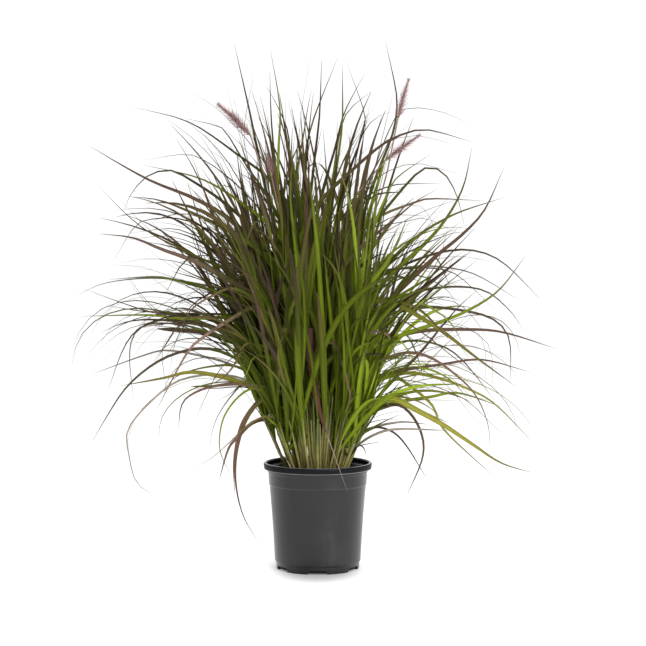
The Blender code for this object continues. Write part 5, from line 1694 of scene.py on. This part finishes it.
def set_up_studio(settings):
    """A pale floor, a white surround, soft lights and the photograph's camera."""
    scene = bpy.context.scene
    scene.view_settings.view_transform = 'Standard'
    bm = bmesh.new()
    bmesh.ops.create_grid(bm, x_segments=1, y_segments=1, size=30)
    bmesh.ops.translate(bm, vec=(0, 0, -0.2 * MM), verts=bm.verts)
    mesh = mesh_of(bm, "studio_floor")
    mesh.materials.append(floor_material(settings))
    put_in_scene("studio_floor", mesh)
    scene.world = studio_surround(settings)
    add_light("key_light", (0.75, -2.1, 2.6), (0, 0, 0.4), 2.4, settings.key)
    add_light("fill_light", (1.7, -2.4, 0.5), (0, 0, 0.22), 1.2, settings.fill)
    lens = bpy.data.cameras.new("camera")
    lens.lens = LENS
    lens.sensor_width = 36
    camera = put_in_scene("camera", lens)
    camera.location = EYE
    camera.rotation_euler = (math.radians(90) - PITCH, 0, 0)
    scene.camera = camera


# ---- settings


def amount(name, description, default, **more):
    """A number that a user can set."""
    return bpy.props.FloatProperty(name=name, description=description, default=default, **more)


def size_of(name, description, default):
    """A length that a user can set."""
    return amount(name, description, default, unit='LENGTH')


def share_of(name, description, default):
    """A share that a user can set, 1 for all."""
    return amount(name, description, default, subtype='FACTOR', soft_min=0, soft_max=2)


def tally(name, description, default, least=0):
    """A whole number that a user can set."""
    return bpy.props.IntProperty(name=name, description=description, default=default, min=least)


def tint(name, description, default):
    """A colour that a user can set."""
    return bpy.props.FloatVectorProperty(name=name, description=description, default=default,
                                         subtype='COLOR', size=3)


class GrassPotSettings(bpy.types.PropertyGroup):
    """The pot's make."""
    steps: tally("Steps", "Facets round the pot", 144, 24)
    plastic_colour: tint("Plastic", "Colour of the plastic", (0.006, 0.006, 0.007))
    roughness: share_of("Roughness", "How dull the plastic is", 0.20)


class GrassSoilSettings(bpy.types.PropertyGroup):
    """The potting mix."""
    lumps: size_of("Lumps", "Height of the soil's lumps", 2.2 * MM)
    chips: tally("Chips", "Number of bark chips", 900)
    chip_size: size_of("Chip size", "Size of the bark chips", 3.4 * MM)
    seed: tally("Seed", "Changes how the chips fall", 4)


class GrassLeafSettings(bpy.types.PropertyGroup):
    """The leaves."""
    cuts: tally("Cuts", "Pieces along a main leaf", 26, 6)
    extra_cuts: tally("Further cuts", "Pieces along a further leaf", 18, 6)
    twist: amount("Twist", "Most that a leaf twists along its length", 0.9, subtype='ANGLE')
    widening: share_of("Widening", "Width of a grown leaf over its solid's", 1.18)
    mantle_leaves: tally("Mantle leaves", "Arching leaves round the middle", 340)
    inner_leaves: tally("Inner leaves", "Upright leaves in the middle", 300)
    fine_leaves: tally("Fine leaves", "Thin leaves beside the main ones", 140)
    sprays: share_of("Sprays", "How many spray leaves, 1 for all", 1.0)
    side_shoots: tally("Side shoots", "Slight shoots between the main ones", 100)
    side_leaves: tally("Side leaves", "Leaves to the front and back", 122)
    young_leaves: tally("Young leaves", "Short leaves low down", 60)
    litter: tally("Litter", "Dry threads among the feet", 30)
    seed: tally("Seed", "Changes how the further leaves lie", 21)
    glow: share_of("Glow", "Share of light let through a blade", 0.25)
    glow_colour: tint("Glow colour", "Colour of light through a blade", (0.21, 0.28, 0.020))
    margin_colour: tint("Margin", "Colour of the blade's edges", (0.075, 0.030, 0.032))
    tip_colour: tint("Tip", "Colour of a blade's thin end", (0.055, 0.038, 0.028))
    dry_colour: tint("Dry", "Colour of dry leaf", (0.33, 0.26, 0.18))
    culm_foot_colour: tint("Culm foot", "Colour of a culm's foot", (0.36, 0.31, 0.10))
    culm_top_colour: tint("Culm top", "Colour of the culms where leaves part", (0.090, 0.130, 0.012))
    sheath_colour: tint("Sheath", "Colour of the purple sheaths", (0.085, 0.040, 0.030))


class GrassFlowerSettings(bpy.types.PropertyGroup):
    """The flower spikes."""
    bristles_per_metre: tally("Bristles", "Bristles for each metre of spike", 9500)
    bristle_length: size_of("Bristle length", "Length of a bristle", 11.5 * MM)
    bristle_thickness: size_of("Bristle thickness", "Radius of a bristle", 0.24 * MM)
    spread: amount("Spread", "Angle of the bristles from the axis", 0.68, subtype='ANGLE')
    seed: tally("Seed", "Changes how the bristles stand", 8)
    bristle_colour: tint("Bristle", "Colour of the bristles", (0.48, 0.29, 0.28))
    bristle_dark: tint("Dark bristle", "Colour of the darker bristles", (0.30, 0.13, 0.13))
    bristle_tip: tint("Bristle tip", "Colour of the bristles' tips", (0.55, 0.38, 0.36))
    stalk_colour: tint("Stalk", "Colour of the stalk's top", (0.20, 0.12, 0.10))


class GrassStudioSettings(bpy.types.PropertyGroup):
    """The studio."""
    sky: amount("Sky", "Strength of the white surround", 1.05)
    dim_sky: amount("Dim sky", "Strength of the surround behind the camera", 0.17)
    key: amount("Key", "Power of the key light", 106.0, unit='POWER')
    fill: amount("Fill", "Power of the fill light", 45.0, unit='POWER')
    floor_glow: amount("Floor glow", "Light that the floor gives off", 0.72)


# ---- operators


class Step:
    """What every step of the build shares."""
    bl_options = {'REGISTER', 'UNDO'}


class GRASS_OT_pot(Step, bpy.types.Operator):
    """Build the nursery pot"""
    bl_idname = "grass.build_pot"
    bl_label = "Pot"

    def execute(self, context):
        make_pot(context.scene.grass_pot)
        return {'FINISHED'}


class GRASS_OT_soil(Step, bpy.types.Operator):
    """Build the potting mix and its bark chips"""
    bl_idname = "grass.build_soil"
    bl_label = "Potting mix"

    def execute(self, context):
        make_soil(context.scene.grass_soil)
        return {'FINISHED'}


class GRASS_OT_tillers(Step, bpy.types.Operator):
    """Grow every culm with its own leaves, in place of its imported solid"""
    bl_idname = "grass.grow_tillers"
    bl_label = "Tillers"

    def execute(self, context):
        settings = context.scene.grass_leaves
        for number, shoot in enumerate(plant()[0]):
            chance = random.Random(settings.seed * 100 + number)
            strands = [culm_strand(shoot, chance)]
            strands += [blade_strand(leaf, settings.cuts, chance, settings) for leaf in shoot["leaves"]]
            grow(f"grown_{shoot['name']}", strands, grass_materials(), replaced=shoot["name"])
        return {'FINISHED'}


class GRASS_OT_flowers(Step, bpy.types.Operator):
    """Grow the flower stalks and their bristly spikes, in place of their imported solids"""
    bl_idname = "grass.grow_flowers"
    bl_label = "Flowers"

    def execute(self, context):
        settings = context.scene.grass_flowers
        materials = {**grass_materials(), "culm": stalk_material(settings),
                     "bristles": bristle_tree(), "bristle": spike_material(settings)}
        for number, (stalk, spike) in enumerate(plant()[1]):
            make_flower(number, stalk, spike, settings, materials)
        return {'FINISHED'}


class GRASS_OT_shoots(Step, bpy.types.Operator):
    """Grow the slight shoots that stand between the main ones"""
    bl_idname = "grass.grow_side_shoots"
    bl_label = "Side shoots"

    def execute(self, context):
        settings = context.scene.grass_leaves
        chance = random.Random(settings.seed + 7)
        strands = [side_shoot(number, settings.side_shoots, chance)
                   for number in range(settings.side_shoots)]
        grow("side_shoots", strands, grass_materials())
        return {'FINISHED'}


class GRASS_OT_inner(Step, bpy.types.Operator):
    """Grow the upright leaves that fill the middle of the clump"""
    bl_idname = "grass.grow_inner_leaves"
    bl_label = "Inner leaves"

    def execute(self, context):
        settings = context.scene.grass_leaves
        count = settings.inner_leaves
        leaves = swept_leaves(settings.seed + count, count, INNER_LEAVES)
        grow_group("inner_leaves", leaves, settings, 6)
        return {'FINISHED'}


class GRASS_OT_mantle(Step, bpy.types.Operator):
    """Grow the arching leaves of the clump's round mass"""
    bl_idname = "grass.grow_mantle_leaves"
    bl_label = "Mantle leaves"

    def execute(self, context):
        settings = context.scene.grass_leaves
        count = settings.mantle_leaves
        leaves = swept_leaves(settings.seed + count, count, MANTLE_LEAVES)
        grow_group("mantle_leaves", leaves, settings, 6)
        return {'FINISHED'}


class GRASS_OT_fine(Step, bpy.types.Operator):
    """Grow thin leaves beside the main ones"""
    bl_idname = "grass.grow_fine_leaves"
    bl_label = "Fine leaves"

    def execute(self, context):
        settings = context.scene.grass_leaves
        count = settings.fine_leaves
        leaves = companion_leaves(settings.seed + count, count, ((-14, -4), (4, 14), (170, 190)),
                                  (1.3, 3.2), 0.20, "kkbkpo")
        grow_group("fine_leaves", leaves, settings, 4)
        return {'FINISHED'}


class GRASS_OT_sprays(Step, bpy.types.Operator):
    """Grow sprays of leaves where the photograph shows the clump thickest"""
    bl_idname = "grass.grow_sprays"
    bl_label = "Sprays"

    def execute(self, context):
        settings = context.scene.grass_leaves
        leaves = spray_leaves(settings.seed + 9, settings.sprays)
        grow_group("spray_leaves", leaves, settings, 4)
        return {'FINISHED'}


class GRASS_OT_side(Step, bpy.types.Operator):
    """Grow leaves towards the front and the back"""
    bl_idname = "grass.grow_side_leaves"
    bl_label = "Side leaves"

    def execute(self, context):
        settings = context.scene.grass_leaves
        count = settings.side_leaves
        leaves = companion_leaves(settings.seed + count, count, ((50, 130), (230, 310)), (3, 9.5), 0.27)
        grow_group("side_leaves", leaves, settings, 4)
        return {'FINISHED'}


class GRASS_OT_young(Step, bpy.types.Operator):
    """Grow short leaves low in the clump"""
    bl_idname = "grass.grow_young_leaves"
    bl_label = "Young leaves"

    def execute(self, context):
        settings = context.scene.grass_leaves
        leaves = swept_leaves(settings.seed + 3, settings.young_leaves, YOUNG_LEAVES)
        grow_group("young_leaves", leaves, settings, 1)
        return {'FINISHED'}


class GRASS_OT_litter(Step, bpy.types.Operator):
    """Lay dry threads and sheaths among the feet"""
    bl_idname = "grass.lay_litter"
    bl_label = "Dry litter"

    def execute(self, context):
        materials = {**grass_materials(), "blade": grass_materials()["dry"]}
        grow("dry_litter", litter_strands(context.scene.grass_leaves), materials)
        return {'FINISHED'}


class GRASS_OT_studio(Step, bpy.types.Operator):
    """Set up the floor, the lights and the camera"""
    bl_idname = "grass.set_up_studio"
    bl_label = "Studio"

    def execute(self, context):
        set_up_studio(context.scene.grass_studio)
        return {'FINISHED'}


class GRASS_PT_panel(bpy.types.Panel):
    """Lists the steps that build the plant"""
    bl_idname = "GRASS_PT_panel"
    bl_label = "Potted grass"
    bl_space_type = 'VIEW_3D'
    bl_region_type = 'UI'
    bl_category = "Grass"

    def draw(self, context):
        for step in STEPS:
            self.layout.operator(step.bl_idname)


SETTINGS = {"grass_pot": GrassPotSettings, "grass_soil": GrassSoilSettings,
            "grass_leaves": GrassLeafSettings, "grass_flowers": GrassFlowerSettings,
            "grass_studio": GrassStudioSettings}
STEPS = (GRASS_OT_pot, GRASS_OT_soil, GRASS_OT_tillers, GRASS_OT_flowers, GRASS_OT_shoots,
         GRASS_OT_inner, GRASS_OT_mantle, GRASS_OT_fine, GRASS_OT_sprays, GRASS_OT_side,
         GRASS_OT_young, GRASS_OT_litter, GRASS_OT_studio)


def register():
    """Register the settings, steps and panel."""
    for name, group in SETTINGS.items():
        bpy.utils.register_class(group)
        setattr(bpy.types.Scene, name, bpy.props.PointerProperty(type=group))
    for step in (*STEPS, GRASS_PT_panel):
        bpy.utils.register_class(step)


def unregister():
    """Take the settings, steps and panel away again."""
    for step in (GRASS_PT_panel, *reversed(STEPS)):
        bpy.utils.unregister_class(step)
    for name, group in reversed(SETTINGS.items()):
        delattr(bpy.types.Scene, name)
        bpy.utils.unregister_class(group)


def main():
    """Build the plant and its studio."""
    register()
    for step in STEPS:
        getattr(bpy.ops.grass, step.bl_idname.split(".")[1])()


if __name__ == "__main__":
    main()
